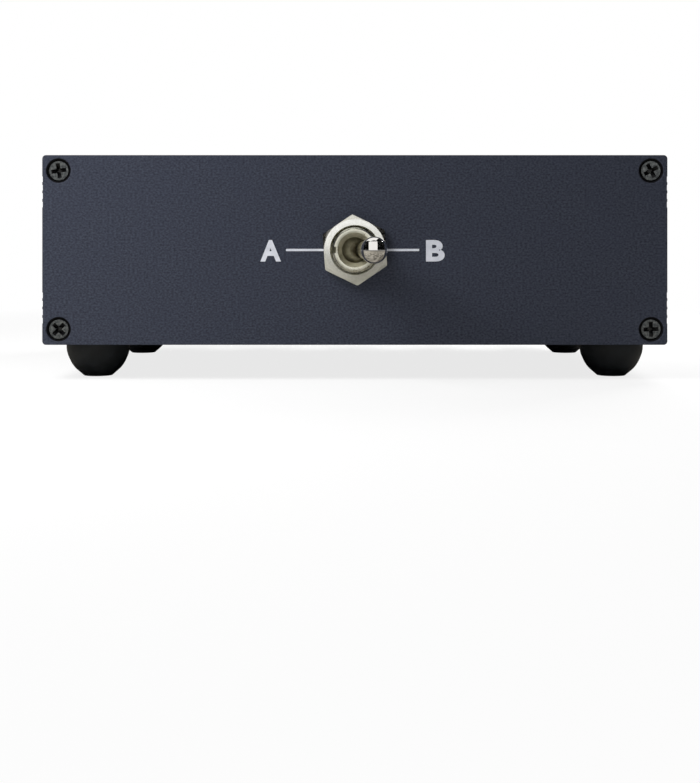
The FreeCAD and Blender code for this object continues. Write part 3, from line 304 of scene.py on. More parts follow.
# %% [markdown]
# ## Plated metals
# The nut and bushing are nickel plated brass with a satin, faintly warm surface. The lever is polished
# chrome. The posts' metal is pale gilded brass, brighter on its faces than down in the bores. A metal's
# colour is the colour of its reflection, so the base colour is set high and the detail goes into the
# roughness and into fine turning marks. A plate that has gone dull has a lower metallic share.

# %% Plated metals
def plated(name, light, dark, blotch_mm, rough_low, rough_high, metallic=1.0, mark_mm=0.12,
           mark_depth=0.003):
    """Metal with a slightly uneven plate: two tones, a range of roughness and fine marks."""
    material, tree, shader = new_finish(name)
    two_tone(tree, shader, noise(tree, blotch_mm, 3.0), light, dark, rough_low, rough_high)
    dress(tree, shader, Metallic=metallic)
    bump(tree, shader, noise(tree, mark_mm), mark_depth)
    return material


nickel = plated("satin_nickel", rgb(232, 231, 222), rgb(206, 204, 192), 1.6, 0.2, 0.34)
warm_nickel = plated("warm_nickel", rgb(236, 235, 220), rgb(214, 212, 194), 1.4, 0.22, 0.34)
dull_nickel = plated("dull_nickel", rgb(200, 196, 172), rgb(172, 167, 142), 1.2, 0.34, 0.48,
                     metallic=0.35)
chrome = plated("chrome", rgb(240, 238, 234), rgb(232, 229, 224), 2.5, 0.03, 0.07,
                mark_mm=0.4, mark_depth=0.0006)
brass = plated("gilded_brass", rgb(222, 210, 166), rgb(186, 170, 118), 1.8, 0.18, 0.32)
sleeve_metal = plated("pale_gilded_brass", rgb(242, 237, 217), rgb(216, 208, 180), 0.8, 0.24, 0.4,
                      metallic=0.7)
tinned = plated("tinned_brass", rgb(196, 194, 186), rgb(168, 166, 158), 2.0, 0.25, 0.42)
zinc = plated("zinc_steel", rgb(186, 188, 190), rgb(150, 153, 158), 1.4, 0.25, 0.45)

# %% [markdown]
# ## Clear plastic
# Collars, rings and caps are moulded in clear plastic, which picks up the brass behind it. The colour is
# the same all through, so it is set on the shader itself. The gloss follows a faint flow pattern from the
# mould, and the plastic is cloudier where it is looked at along its skin, which draws white outlines. The
# rims of the collar and of the cap's skirt come frosted out of the mould and scatter most of the light.

# %% Clear plastic
PLASTIC_INDEX = 1.49
SLANT_LOW, SLANT_HIGH = 0.66, 0.96


def clear(name, facing_share, edge_share):
    """Clear plastic: the shares of light let through where it faces the eye and along its edges."""
    material, tree, shader = new_finish(name)
    flow = noise(tree, 2.2)
    slant = tree.nodes.new("ShaderNodeLayerWeight").outputs["Facing"]
    through = spread(tree, slant, SLANT_LOW, SLANT_HIGH, facing_share, edge_share)
    dress(tree, shader, Base_Color=rgb(248, 249, 247), Transmission_Weight=through, IOR=PLASTIC_INDEX,
          Roughness=spread_noise(tree, flow, 0.01, 0.05))
    bump(tree, shader, flow, 0.03, 0.45)
    return material


clear_plastic = clear("clear_plastic", 0.97, 0.25)
cloudy_plastic = clear("cloudy_plastic", 0.88, 0.12)
frosted_plastic = clear("frosted_plastic", 0.45, 0.1)

# %% [markdown]
# ## Moulded parts, wire sleeve and ink
# The switch body is a dark red moulding, the washers and the carriage are black, and the wires have a
# glossy sleeve. The lettering is screen printed in white ink: it lies a few hundredths of a millimetre
# proud, and the texture under it makes it slightly mottled.

# %% Moulded parts, wire sleeve and ink
CLOUD_SIZE = 2.5


def moulded(name, light, dark, rough_low, rough_high, grain_mm=0.3, grain_depth=0.01, specular=0.5):
    """A dense material in two near tones, with a fine grain."""
    material, tree, shader = new_finish(name)
    two_tone(tree, shader, noise(tree, CLOUD_SIZE, 3.0), light, dark, rough_low, rough_high)
    dress(tree, shader, Specular_IOR_Level=specular)
    bump(tree, shader, noise(tree, grain_mm), grain_depth)
    return material


switch_moulding = moulded("switch_moulding", rgb(112, 32, 26), rgb(88, 22, 18), 0.35, 0.5)
black_moulding = moulded("black_moulding", rgb(34, 34, 36), rgb(22, 22, 24), 0.4, 0.55)
# Painted shade: a near-black finish that stands in for the shade inside the screws' cross recesses.
screw_recess_shade = moulded("screw_recess_shade", rgb(16, 16, 18), rgb(8, 8, 10), 0.34, 0.5)
wire_sleeve = moulded("wire_sleeve", rgb(176, 28, 22), rgb(150, 20, 16), 0.22, 0.34)
white_ink = moulded("white_ink", rgb(222, 224, 231), rgb(198, 201, 210), 0.5, 0.62, grain_mm=0.4,
                    grain_depth=0.02, specular=0.15)
print("finishes made:", len(bpy.data.materials))

# %% [markdown]
# ## Finishes on the pieces that stay as constructed
# Flat plates, shells, nuts and the hidden works already have their real shape in the model. They only
# need their finish and a smooth shading of the round faces.

# %% Finish the constructed pieces
SHARP = 32


def smooth_shade(item, sharp_degrees=SHARP):
    mesh = item.data
    mesh.polygons.foreach_set("use_smooth", [True] * len(mesh.polygons))
    mesh.set_sharp_from_angle(angle=math.radians(sharp_degrees))


def give_finish(node, material):
    item = nodes[node]
    item.data.materials.clear()
    item.data.materials.append(material)
    smooth_shade(item)


STAYING = {
    "front_panel": slate_paint, "rear_panel": slate_paint,
    "upper_shell": black_anodised, "lower_shell": black_anodised,
    "rubber_feet": black_rubber, "foot_nuts": zinc,
    "post_insulators": black_moulding, "post_nuts": zinc, "solder_lugs": tinned,
    "toggle_lock_washer": dull_nickel, "toggle_housing": switch_moulding, "toggle_terminals": tinned,
    "toggle_pivot_pin": zinc, "lever_carriage": black_moulding, "contact_plungers": brass,
    "plunger_springs": zinc, "contact_rockers": tinned, "hookup_wires": wire_sleeve,
}
for node, material in STAYING.items():
    give_finish(node, material)
print("finished", len(STAYING), "constructed nodes")

# %% [markdown]
# ## A lathe for every round piece
# Most pieces here were turned or moulded round: studs, caps, nuts, screws. One helper does them all. It
# asks for a closed profile at each angle, joins neighbouring profiles with faces, and welds the seam.
# Because the profile may change with the angle, the same helper makes facets, hexagons, knurls, keyways
# and real helical threads. A piece is turned in its mesh, not by its object, so that its own box stays
# tight round it.

# %% Lathe helpers
WELD = 0.0005


def even_angles(count, extra=()):
    angles = {round(2 * math.pi * index / count, 7) for index in range(count)}
    angles |= {round(angle % (2 * math.pi), 7) for angle in extra}
    return sorted(angles)


def mesh_from(work, name):
    """Ends the work on a mesh and gives the mesh."""
    mesh = bpy.data.meshes.new(name)
    work.to_mesh(mesh)
    work.free()
    return mesh


def spun_mesh(name, angles, profile_at):
    """A closed piece about its own Z axis, from profile_at(angle) in millimetres."""
    work = bmesh.new()
    columns = []
    for angle in [*angles, angles[0] + 2 * math.pi]:
        across, along = math.cos(angle) * MM, math.sin(angle) * MM
        columns.append([work.verts.new((r * across, r * along, z * MM)) for r, z in profile_at(angle)])
    count = len(columns[0])
    for near, far in zip(columns, columns[1:]):
        for index in range(count):
            following = (index + 1) % count
            work.faces.new((near[index], far[index], far[following], near[following]))
    bmesh.ops.remove_doubles(work, verts=work.verts, dist=WELD * MM)
    bmesh.ops.dissolve_degenerate(work, edges=work.edges, dist=WELD * MM)
    bmesh.ops.recalc_face_normals(work, faces=work.faces)
    return mesh_from(work, name)


def softened(points, size, steps=3):
    """Rounds the corners of a closed profile."""
    rounded = []
    count = len(points)
    for index, point in enumerate(points):
        corner = Vector(point)
        before = Vector(points[index - 1]) - corner
        after = Vector(points[(index + 1) % count]) - corner
        first = corner + before.normalized() * min(size, before.length * 0.45)
        last = corner + after.normalized() * min(size, after.length * 0.45)
        for step in range(steps + 1):
            share = step / steps
            blend = first * (1 - share) ** 2 + corner * 2 * share * (1 - share) + last * share ** 2
            rounded.append((blend.x, blend.y))
    return rounded


def thread_rows(angle, radius, depth, pitch, low, high, rows=8):
    """The edge of a right-hand thread from low to high, as it stands at one angle."""
    start = angle / (2 * math.pi)
    turns = math.ceil((high - low) / pitch) + 1
    edge = []
    for step in range(-rows, turns * rows + 1):
        level = min(max(low + pitch * (step / rows + start), low), high)
        phase = ((level - low) / pitch - start) % 1
        groove = min(max(1.3 * (1 - abs(2 * phase - 1)) - 0.15, 0), 1)
        edge.append((radius - depth * groove, level))
    return edge


def knurl(angle, radius, depth, teeth):
    """The radius of a straight knurl at one angle."""
    phase = (angle * teeth / (2 * math.pi)) % 1
    return radius - depth * min(max(4 * abs(phase - 0.5) - 0.5, 0), 1)


def from_axis(face):
    """How far a face lies from the piece's own axis, in millimetres."""
    return math.hypot(face.center.x, face.center.y) / MM


def two_finishes(mesh, first, second, takes_second):
    """Gives a mesh its first finish, and the second wherever takes_second(face) holds."""
    mesh.materials.append(first)
    mesh.materials.append(second)
    for face in mesh.polygons:
        face.material_index = 1 if takes_second(face) else 0


def add_piece(name, mesh, body, matrix, stands_for=(), sharp_degrees=SHARP):
    """Puts a turned copy of a finished mesh in the scene and lets it move with its body."""
    mesh = mesh.copy()
    mesh.transform(matrix.to_3x3().to_4x4())
    item = place_new(name, mesh)
    item.location = matrix.to_translation()
    smooth_shade(item, sharp_degrees)
    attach(item, body)
    if stands_for:
        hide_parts(*stands_for)
    return item


def turned(degrees, axis):
    return Matrix.Rotation(math.radians(degrees), 4, axis)


def facing_front(x=0.0, z=0.0, y=front_face, turn=0.0):
    """Local Z points out of the front."""
    return Matrix.Translation((x, y, panel_middle_z + z)) @ turned(90, "X") @ turned(turn, "Z")


def facing_rear(x=0.0, z=0.0, y=rear_face, turn=0.0):
    """Local Z points out of the rear."""
    return Matrix.Translation((x, y, panel_middle_z + z)) @ turned(-90, "X") @ turned(turn, "Z")


# %% [markdown]
# ## Binding posts
# Each post is a gilded brass stud in a clear collar, with a clear clamp ring and a clear octagonal cap
# over it. The stud's knurled flange shows through the collar as a ring of fine teeth. The cap is moulded
# round a brass sleeve, the way in for a banana plug. Heights are counted outward from the rear panel.

# %% Post sizes
SPIGOT_BORE, SPIGOT_RADIUS, SPIGOT_END = 2.6, 4, -2
RIM_RADIUS, RIM_TOP = 8.2, 2
COLLAR_RADIUS, COLLAR_CUP, COLLAR_FLOOR, COLLAR_TOP = 7.7, 6.5, 1.8, 5.4
FLANGE_RADIUS, FLANGE_TOP = 6.4, 5.6
SPINDLE_RADIUS, SPINDLE_PITCH, SPINDLE_TOP = 3.4, 1.0, 16.4
TAIL_RADIUS, TAIL_PITCH, TAIL_END = 2.5, 0.8, -12.0
BANANA_FLOOR = 6.0
BANANA_RADIUS = 2.05
RING_BORE, RING_RADIUS, RING_LOW, RING_TOP = 3.7, 7.6, 5.9, 7.4
CAP_LOW, SKIRT_TOP, NECK_TOP = 7.7, 10.0, 10.6
FACET_TOP, SHOULDER_TOP, BOSS_TOP = 17.0, 18.1, 19.5
SKIRT_RADIUS, NECK_RADIUS, SHOULDER_RADIUS, BOSS_RADIUS = 7.7, 6.9, 6.1, 5
INSERT_MOUTH, INSERT_SHOULDER, INSERT_FRONT = 17.0, 18.6, 20.0
INSERT_RADIUS, INSERT_COLLAR = 4.6, 3.2
LOOSE = 0.02
ROUND = even_angles(120)

# %% Collar and clamp ring
COLLAR_TEETH = 48
COLLAR_RIB = 0.3
COLLAR_FROST = 7.9


def collar_profile(angle):
    ribbed = knurl(angle, COLLAR_RADIUS, COLLAR_RIB, COLLAR_TEETH)
    outline = [(SPIGOT_BORE, SPIGOT_END), (SPIGOT_RADIUS, SPIGOT_END), (SPIGOT_RADIUS, 0),
               (RIM_RADIUS, 0), (RIM_RADIUS, RIM_TOP), (ribbed, RIM_TOP + 0.1), (ribbed, COLLAR_TOP),
               (COLLAR_CUP, COLLAR_TOP), (COLLAR_CUP, COLLAR_FLOOR), (SPIGOT_BORE, COLLAR_FLOOR)]
    return softened(outline, size=0.28)


collar_mesh = spun_mesh("post_collar", even_angles(COLLAR_TEETH * 4), collar_profile)
two_finishes(collar_mesh, cloudy_plastic, frosted_plastic, lambda face: from_axis(face) > COLLAR_FROST)
ring_profile = softened([(RING_BORE, RING_LOW), (RING_RADIUS, RING_LOW), (RING_RADIUS, RING_TOP),
                         (RING_BORE, RING_TOP)], size=0.35)
ring_mesh = spun_mesh("clamp_ring", ROUND, lambda angle: ring_profile)
ring_mesh.materials.append(clear_plastic)
print("collar mesh has", len(collar_mesh.polygons), "faces, ring mesh", len(ring_mesh.polygons))

# %% [markdown]
# The stud is one brass bar, turned, threaded and drilled. Its flange is knurled, the spindle and the
# tail carry threads, the front is drilled for the plug and has the small centre mark that the drill
# leaves, and a cross hole takes a bare wire.

# %% Stud
FLANGE_TEETH = 44
FLANGE_TOOTH = 0.45
FLANGE_BEVEL = 0.25
THREAD_LEAD = 0.4
DRILL_MARK = 0.9


def stud_profile(angle):
    flange = knurl(angle, FLANGE_RADIUS, FLANGE_TOOTH, FLANGE_TEETH)
    tail = thread_rows(angle, TAIL_RADIUS, 0.3, TAIL_PITCH, TAIL_END + THREAD_LEAD,
                       COLLAR_FLOOR - THREAD_LEAD)
    spindle = thread_rows(angle, SPINDLE_RADIUS, 0.32, SPINDLE_PITCH, FLANGE_TOP + THREAD_LEAD,
                          SPINDLE_TOP - THREAD_LEAD)
    return [(0, TAIL_END), (TAIL_RADIUS - 0.4, TAIL_END), *tail,
            (TAIL_RADIUS - 0.2, COLLAR_FLOOR), (flange - FLANGE_BEVEL, COLLAR_FLOOR),
            (flange, COLLAR_FLOOR + FLANGE_BEVEL), (flange, FLANGE_TOP - FLANGE_BEVEL),
            (flange - FLANGE_BEVEL, FLANGE_TOP), (SPINDLE_RADIUS - 0.4, FLANGE_TOP), *spindle,
            (SPINDLE_RADIUS - 0.45, SPINDLE_TOP), (BANANA_RADIUS + 0.3, SPINDLE_TOP),
            (BANANA_RADIUS, SPINDLE_TOP - 0.3), (BANANA_RADIUS, BANANA_FLOOR),
            (DRILL_MARK, BANANA_FLOOR - 0.3), (0, BANANA_FLOOR - 1.2)]


stud_mesh = spun_mesh("post_stud", even_angles(FLANGE_TEETH * 4), stud_profile)
print("stud mesh has", len(stud_mesh.polygons), "faces")

# %% [markdown]
# The cap has eight flats for the fingers. A flat is where the round is cut short: at each angle the
# radius is the smaller of the octagon's and a circle's, which also takes the sharpness off the corners.
# Cones at both ends of the flats make their scalloped ends.

# %% Cap
CAP_FACETS = 8
CAP_CORNER = 7.4
CAP_CORNER_CUT = 0.07
CAP_BEVEL = 0.7
CAP_FROST = 7.5


def octagon(angle):
    sector = 2 * math.pi / CAP_FACETS
    off_flat = (angle % sector) - sector / 2
    flat = CAP_CORNER * math.cos(sector / 2) / math.cos(off_flat)
    return min(flat, CAP_CORNER - CAP_CORNER_CUT)


def cap_profile(angle):
    facet = octagon(angle)
    start = CAP_CORNER - CAP_BEVEL
    slope = facet - start
    bore, mouth = INSERT_RADIUS + LOOSE, INSERT_COLLAR + LOOSE
    outline = [(bore, CAP_LOW), (SKIRT_RADIUS, CAP_LOW), (SKIRT_RADIUS, SKIRT_TOP),
               (NECK_RADIUS, SKIRT_TOP + 0.1), (start, NECK_TOP), (facet, NECK_TOP + slope),
               (facet, FACET_TOP - slope), (start, FACET_TOP), (SHOULDER_RADIUS, FACET_TOP + 0.05),
               (BOSS_RADIUS, SHOULDER_TOP), (BOSS_RADIUS, BOSS_TOP), (mouth, BOSS_TOP),
               (mouth, INSERT_SHOULDER + LOOSE), (bore, INSERT_SHOULDER + LOOSE)]
    return softened(outline, size=0.22)


cap_mesh = spun_mesh("cap", ROUND, cap_profile)
two_finishes(cap_mesh, clear_plastic, frosted_plastic, lambda face: from_axis(face) > CAP_FROST)
print("cap mesh has", len(cap_mesh.polygons), "faces")

# %% [markdown]
# The sleeve is knurled so that the plastic grips it, and ribbed in its mouth where the plug goes in. Its
# plate is pale, but the bore and the edge of the mouth are worn to the brass.

# %% Sleeve in the cap
SLEEVE_TEETH = 40
SLEEVE_TOOTH = 0.22
SLEEVE_BORE = 3.46
SLEEVE_FOOT = 4.2
MOUTH_BEVEL = 0.25
MOUTH_RIBS = (18.5, 18.1, 17.7, 17.3)
RIB_HALF = 0.12
RIB_DEPTH = 0.14
WORN_WITHIN = 2.38


def sleeve_profile(angle):
    grip = knurl(angle, INSERT_RADIUS, SLEEVE_TOOTH, SLEEVE_TEETH)
    ribs = []
    for level in MOUTH_RIBS:
        ribs += [(BANANA_RADIUS, level + RIB_HALF), (BANANA_RADIUS + RIB_DEPTH, level),
                 (BANANA_RADIUS, level - RIB_HALF)]
    return [(SLEEVE_BORE, CAP_LOW), (SLEEVE_FOOT, CAP_LOW), (grip, CAP_LOW + 0.3),
            (grip, INSERT_SHOULDER - 0.2), (grip - 0.2, INSERT_SHOULDER), (INSERT_COLLAR, INSERT_SHOULDER),
            (INSERT_COLLAR, INSERT_FRONT - MOUTH_BEVEL), (INSERT_COLLAR - MOUTH_BEVEL, INSERT_FRONT),
            (2.5, INSERT_FRONT), (2.4, INSERT_FRONT - 0.08), (BANANA_RADIUS + 0.12, INSERT_FRONT - 1.1),
            *ribs, (BANANA_RADIUS, INSERT_MOUTH), (SLEEVE_BORE, INSERT_MOUTH)]


def worn_to_brass(face):
    """The bore, and the bevel round the mouth."""
    radius = from_axis(face)
    on_bevel = INSERT_COLLAR - 0.24 < radius <= INSERT_COLLAR and face.center.z > BOSS_TOP * MM
    return radius < WORN_WITHIN or on_bevel


sleeve_mesh = spun_mesh("cap_sleeve", even_angles(SLEEVE_TEETH * 4), sleeve_profile)
two_finishes(sleeve_mesh, sleeve_metal, brass, worn_to_brass)
print("sleeve mesh has", len(sleeve_mesh.polygons), "faces")

# %% [markdown]
# A bare wire goes through a cross hole in the spindle. It is drilled as a machinist would, by taking a
# rod's volume out of the stud. The flange keeps a pale plate, the spindle and the tail show their brass.

# %% Cutting helper and the wire hole
def cut_away(mesh, tool_mesh):
    """A new mesh: the first with the tool's volume taken out."""
    base = place_new("cut_base", mesh)
    tool = place_new("cut_tool", tool_mesh)
    cutter = base.modifiers.new("cut", "BOOLEAN")
    cutter.operation = "DIFFERENCE"
    cutter.solver = "EXACT"
    cutter.object = tool
    depsgraph = bpy.context.evaluated_depsgraph_get()
    result = bpy.data.meshes.new_from_object(base.evaluated_get(depsgraph))
    result.name = mesh.name
    bpy.data.objects.remove(base)
    bpy.data.objects.remove(tool)
    return result


WIRE_HOLE_LEVEL = 7.4
WIRE_HOLE_RADIUS = 1.2
DRILL_REACH = 5
PALE_BEYOND = 4.5
drill_profile = [(0, -DRILL_REACH), (WIRE_HOLE_RADIUS, -DRILL_REACH), (WIRE_HOLE_RADIUS, DRILL_REACH),
                 (0, DRILL_REACH)]
drill_mesh = spun_mesh("drill", even_angles(32), lambda angle: drill_profile)
drill_mesh.transform(Matrix.Translation((0, 0, WIRE_HOLE_LEVEL * MM)) @ turned(90, "X"))
stud_mesh = cut_away(stud_mesh, drill_mesh)
two_finishes(stud_mesh, brass, sleeve_metal, lambda face: from_axis(face) > PALE_BEYOND)
print("stud with its wire hole has", len(stud_mesh.polygons), "faces")

# %% [markdown]
# Each cap stops at an angle of its own when it is screwed home, so every post is turned a little further
# than the one before it.

# %% Set the twelve posts
CAP_TWIST = 17
for number in range(1, 13):
    tag = f"{number:02d}"
    low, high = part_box(f"clamp_ring_{tag}")
    x, z = (low.x + high.x) / 2, (low.z + high.z) / 2 - panel_middle_z
    turn = CAP_TWIST * (number - 1)
    here = facing_rear(x, z, turn=turn)
    ring_body, cap_body = f"ring_body_{tag}", f"cap_body_{tag}"
    add_piece(f"collar_{tag}", collar_mesh, "case", here, ["post_collars"])
    add_piece(f"stud_{tag}", stud_mesh, "case", facing_rear(x, z), ["post_studs"])
    add_piece(f"ring_{tag}", ring_mesh, ring_body, here, [f"clamp_ring_{tag}"])
    add_piece(f"faceted_cap_{tag}", cap_mesh, cap_body, here, [f"cap_{tag}"])
    add_piece(f"sleeve_{tag}", sleeve_mesh, cap_body, here, [f"cap_insert_{tag}"])
print("posts set: 12")

# %% [markdown]
# ## Toggle switch
# The switch is held by a hexagon nut on a threaded bushing. The bushing has a keyway cut along it, and
# its mouth is a shallow cone in which the lever leans over. The frame plate behind the panel is the
# bushing's foot. A hexagon nut's front corners are turned to a cone, so the flats end in arcs: at each
# angle the flat rises until the cone cuts it. The nut's face and its lower corners take a less metallic
# plate with faint stains, whose colour is a painted light: darker towards the bottom, lighter towards the
# top. The upper corners keep the satin nickel.

# %% Nut
NUT_FLATS = 16.5
NUT_HEIGHT = 2.6
NUT_TURN = 34.2
NUT_BORE = 6.06
NUT_COUNTERBORE = 6.38
NUT_FACE_RADIUS = 8.2
NUT_SLOPE = math.tan(math.radians(36))
NUT_CROWN = 0.11
SHADE_REACH = 8 * MM
nut_angle = math.radians(NUT_TURN)
nut_up = Vector((math.sin(nut_angle), math.cos(nut_angle), 0))


def nut_profile(angle):
    sector = math.pi / 3
    off_flat = (angle % sector) - sector / 2
    side = min(NUT_FLATS / 2 / math.cos(off_flat), NUT_FLATS / 2 / math.cos(sector / 2) - 0.06)
    rim = NUT_HEIGHT - NUT_CROWN
    drop = max(side - NUT_FACE_RADIUS, 0) * NUT_SLOPE
    face = min(side - 0.05, NUT_FACE_RADIUS)
    return [(6.45, 0), (side - 0.1, 0), (side, 0.12), (side, rim - drop - 0.04),
            (face + 0.02, rim - 0.02), (face - 0.06, rim + 0.01), (6.62, NUT_HEIGHT),
            (6.42, NUT_HEIGHT - 0.2), (NUT_COUNTERBORE, NUT_HEIGHT - 0.7), (NUT_BORE, NUT_HEIGHT - 1.0),
            (NUT_BORE, 0.4)]


def on_upper_corner(face):
    """The corners' cones and flats, down to a little below the middle."""
    return face.normal.z < 0.97 and face.center.dot(nut_up) > -1 * MM


# Painted light: the nut's colour runs from darker at the bottom to lighter at the top, as if lit from
# above; a noise adds faint stains over it.
stained_nickel_painted_light, tree, shader = new_finish("stained_nickel_painted_light")
split = add_node(tree, "ShaderNodeSeparateXYZ", Vector=own_place(tree))
upward = spread(tree, split.outputs["Z"], -SHADE_REACH, SHADE_REACH)
painted_top_light = blend_colours(tree, upward, rgb(222, 222, 212), rgb(254, 254, 250))
brushing = noise(tree, 0.5, 3.0)
stains_over_painted_light = blend_colours(tree, spread_noise(tree, brushing, 0.0, 0.3), painted_top_light, rgb(170, 168, 152))
dress(tree, shader, Base_Color=stains_over_painted_light, Roughness=spread_noise(tree, brushing, 0.16, 0.26), Metallic=0.65)
bump(tree, shader, brushing, 0.004)
nut_mesh = spun_mesh("toggle_nut", even_angles(180), nut_profile)
two_finishes(nut_mesh, stained_nickel_painted_light, nickel, on_upper_corner)
low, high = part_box("toggle_nuts")
for name, level in (("front_nut", front_face), ("back_nut", high.y)):
    add_piece(name, nut_mesh, "case", facing_front(y=level, turn=NUT_TURN), ["toggle_nuts"])

# %% Bushing
BUSHING_RADIUS, BUSHING_THREAD, BUSHING_PITCH = 6.0, 0.36, 0.75
BUSHING_FRONT, BUSHING_BACK = 5.2, -8.4
NECK_BORE, CAVITY_BORE, CAVITY_TOP = 3.4, 3.9, 1.8
CONE_EDGE = 4.6
PLATE_FRONT = BUSHING_BACK + 1.2
KEY_HALF = 0.9
KEY_FLOOR = 5.0
key_edge = math.asin(KEY_HALF / BUSHING_RADIUS)


def bushing_profile(angle):
    outer = thread_rows(angle, BUSHING_RADIUS, BUSHING_THREAD, BUSHING_PITCH, PLATE_FRONT,
                        BUSHING_FRONT - 0.5)
    from_key = abs(angle % (2 * math.pi) - math.pi)
    front = [(5.5, BUSHING_FRONT - 0.05), (5.05, BUSHING_FRONT), (CONE_EDGE, BUSHING_FRONT - 0.07)]
    if from_key < key_edge - 1e-4:
        floor = KEY_FLOOR / math.cos(from_key)
        outer = [(min(radius, floor), level) for radius, level in outer]
        front = [(min(radius, floor), level) for radius, level in front]
    return [(BUSHING_RADIUS, BUSHING_BACK), (BUSHING_RADIUS, PLATE_FRONT), *outer, *front,
            (NECK_BORE + 0.1, CAVITY_TOP + 0.9), (NECK_BORE, CAVITY_TOP + 0.8),
            (NECK_BORE, CAVITY_TOP + 0.1), (NECK_BORE + 0.1, CAVITY_TOP), (CAVITY_BORE, CAVITY_TOP),
            (CAVITY_BORE, BUSHING_BACK)]


key_sides = [math.pi + side * (key_edge + gap) for side in (-1, 1) for gap in (0, -0.0004)]
bushing_mesh = spun_mesh("toggle_bushing", even_angles(144, key_sides), bushing_profile)
two_finishes(bushing_mesh, warm_nickel, dull_nickel, lambda face: from_axis(face) < CONE_EDGE - 0.02)
add_piece("threaded_bushing", bushing_mesh, "case", facing_front(), ["toggle_bushing"])

# %% Frame plate
PLATE_HALF_WIDTH = 13.0
PLATE_HALF_HEIGHT = 16.0
PLATE_BORE = 6.02
PLATE_BEVEL = 0.15


def plate_profile(angle):
    across, along = abs(math.cos(angle)), abs(math.sin(angle))
    edge = min(PLATE_HALF_WIDTH / max(across, 1e-6), PLATE_HALF_HEIGHT / max(along, 1e-6))
    return [(PLATE_BORE, BUSHING_BACK), (edge - PLATE_BEVEL, BUSHING_BACK),
            (edge, BUSHING_BACK + PLATE_BEVEL), (edge, PLATE_FRONT - PLATE_BEVEL),
            (edge - PLATE_BEVEL, PLATE_FRONT), (PLATE_BORE, PLATE_FRONT)]


corner = math.atan2(PLATE_HALF_HEIGHT, PLATE_HALF_WIDTH)
corners = [corner, math.pi - corner, math.pi + corner, -corner]
plate_mesh = spun_mesh("frame_plate", even_angles(72, corners), plate_profile)
plate_mesh.materials.append(nickel)
add_piece("frame_plate", plate_mesh, "case", facing_front(), ["toggle_bushing"])

# %% [markdown]
# The lever is one turned bar: a ball end for the finger, a stem that narrows towards the bushing, the
# pivot ball in the cavity, and a thin arm behind it that carries the contact carriage. It is set
# leaning over to the right, the way the model has it. The chrome ends where the bushing hides the rest.

# %% Lever
LEVER_LENGTH = 22.9
LEVER_TILT = 12
TIP_RADIUS = 3.4
PIVOT_RADIUS = 3.8
PIVOT_DEPTH = 1.6
ARM_RADIUS = 1.6
ARM_END = -10.2


def arc(radius, centre, start, end, steps):
    """Points of a round end, angles counted from the axis, in degrees."""
    angles = [math.radians(start + (end - start) * step / steps) for step in range(steps + 1)]
    return [(radius * math.sin(turn), centre + radius * math.cos(turn)) for turn in angles]


stem = [(2.12, 3.6), (2.2, 8), (2.34, 12), (2.5, 16), (2.66, 19.5), (2.78, 21.4)]
lever_outline = [(0, ARM_END), (ARM_RADIUS - 0.15, ARM_END), (ARM_RADIUS, ARM_END + 0.15),
                 (ARM_RADIUS, -3.6),
                 *arc(PIVOT_RADIUS, 0, 155, 34, 24), *stem,
                 *arc(TIP_RADIUS, LEVER_LENGTH, 116, 0, 28)]
lever_mesh = spun_mesh("bat_lever", even_angles(96), lambda angle: lever_outline)
two_finishes(lever_mesh, chrome, dull_nickel, lambda face: face.center.z < PIVOT_RADIUS * MM)
pivot = Matrix.Translation((0, front_face + PIVOT_DEPTH * MM, panel_middle_z))
lean = turned(LEVER_TILT, "Z") @ turned(90, "X")
add_piece("bat_lever", lever_mesh, "lever", pivot @ lean, ["toggle_lever"], sharp_degrees=50)

# %% [markdown]
# ## Screws
# Twelve countersunk screws hold the panels and the feet. A cross recess is a tapered plus, pressed into
# the head by a punch, so a tapered plus is built and its volume is taken out of the head. No two screws
# stop at the same angle, so each has a turn of its own.

# %% Screw mesh
HEAD_RADIUS = 2.62
HEAD_RIM = 0.2
SCREW_LENGTH = 8.0
SHANK_RADIUS, SHANK_THREAD, SHANK_PITCH = 1.5, 0.2, 0.5
SHANK_TOP = -1.32
RECESS_MOUTH = (0.3, 2.2896, 0.616)
RECESS_FOOT = (-1.5, 0.62, 0.2)
SHADED_BELOW = -0.05


def screw_profile(angle):
    shank = thread_rows(angle, SHANK_RADIUS, SHANK_THREAD, SHANK_PITCH, -SCREW_LENGTH + 0.45,
                        SHANK_TOP - 0.3)
    return [(0, -SCREW_LENGTH), (SHANK_RADIUS - 0.45, -SCREW_LENGTH), *shank, (SHANK_RADIUS, SHANK_TOP),
            (HEAD_RADIUS - 0.03, -HEAD_RIM), (HEAD_RADIUS, -HEAD_RIM + 0.04), (HEAD_RADIUS, -0.08),
            (HEAD_RADIUS - 0.1, 0), (0, 0)]


def recess_tool():
    """A tapered plus, from (level, span, half width) at its mouth to the same at its foot."""
    work = bmesh.new()
    loops = []
    for level, span, half in (RECESS_MOUTH, RECESS_FOOT):
        corners = []
        for quarter in range(4):
            turn = math.pi / 2 * quarter
            for x, y in ((half, half), (half, span), (-half, span)):
                corners.append(work.verts.new(((x * math.cos(turn) - y * math.sin(turn)) * MM,
                                               (x * math.sin(turn) + y * math.cos(turn)) * MM,
                                               level * MM)))
        loops.append(corners)
    upper, lower = loops
    for index in range(len(upper)):
        following = (index + 1) % len(upper)
        work.faces.new((upper[index], upper[following], lower[following], lower[index]))
    work.faces.new(upper)
    work.faces.new(lower)
    bmesh.ops.recalc_face_normals(work, faces=work.faces)
    return mesh_from(work, "recess_tool")


screw_mesh = cut_away(spun_mesh("machine_screw", even_angles(64), screw_profile), recess_tool())
# The recess, the edge of the head and the shank take the near-black painted shade.
two_finishes(screw_mesh, black_screw, screw_recess_shade, lambda face: face.center.z <= SHADED_BELOW * MM)
print("screw mesh has", len(screw_mesh.polygons), "faces")

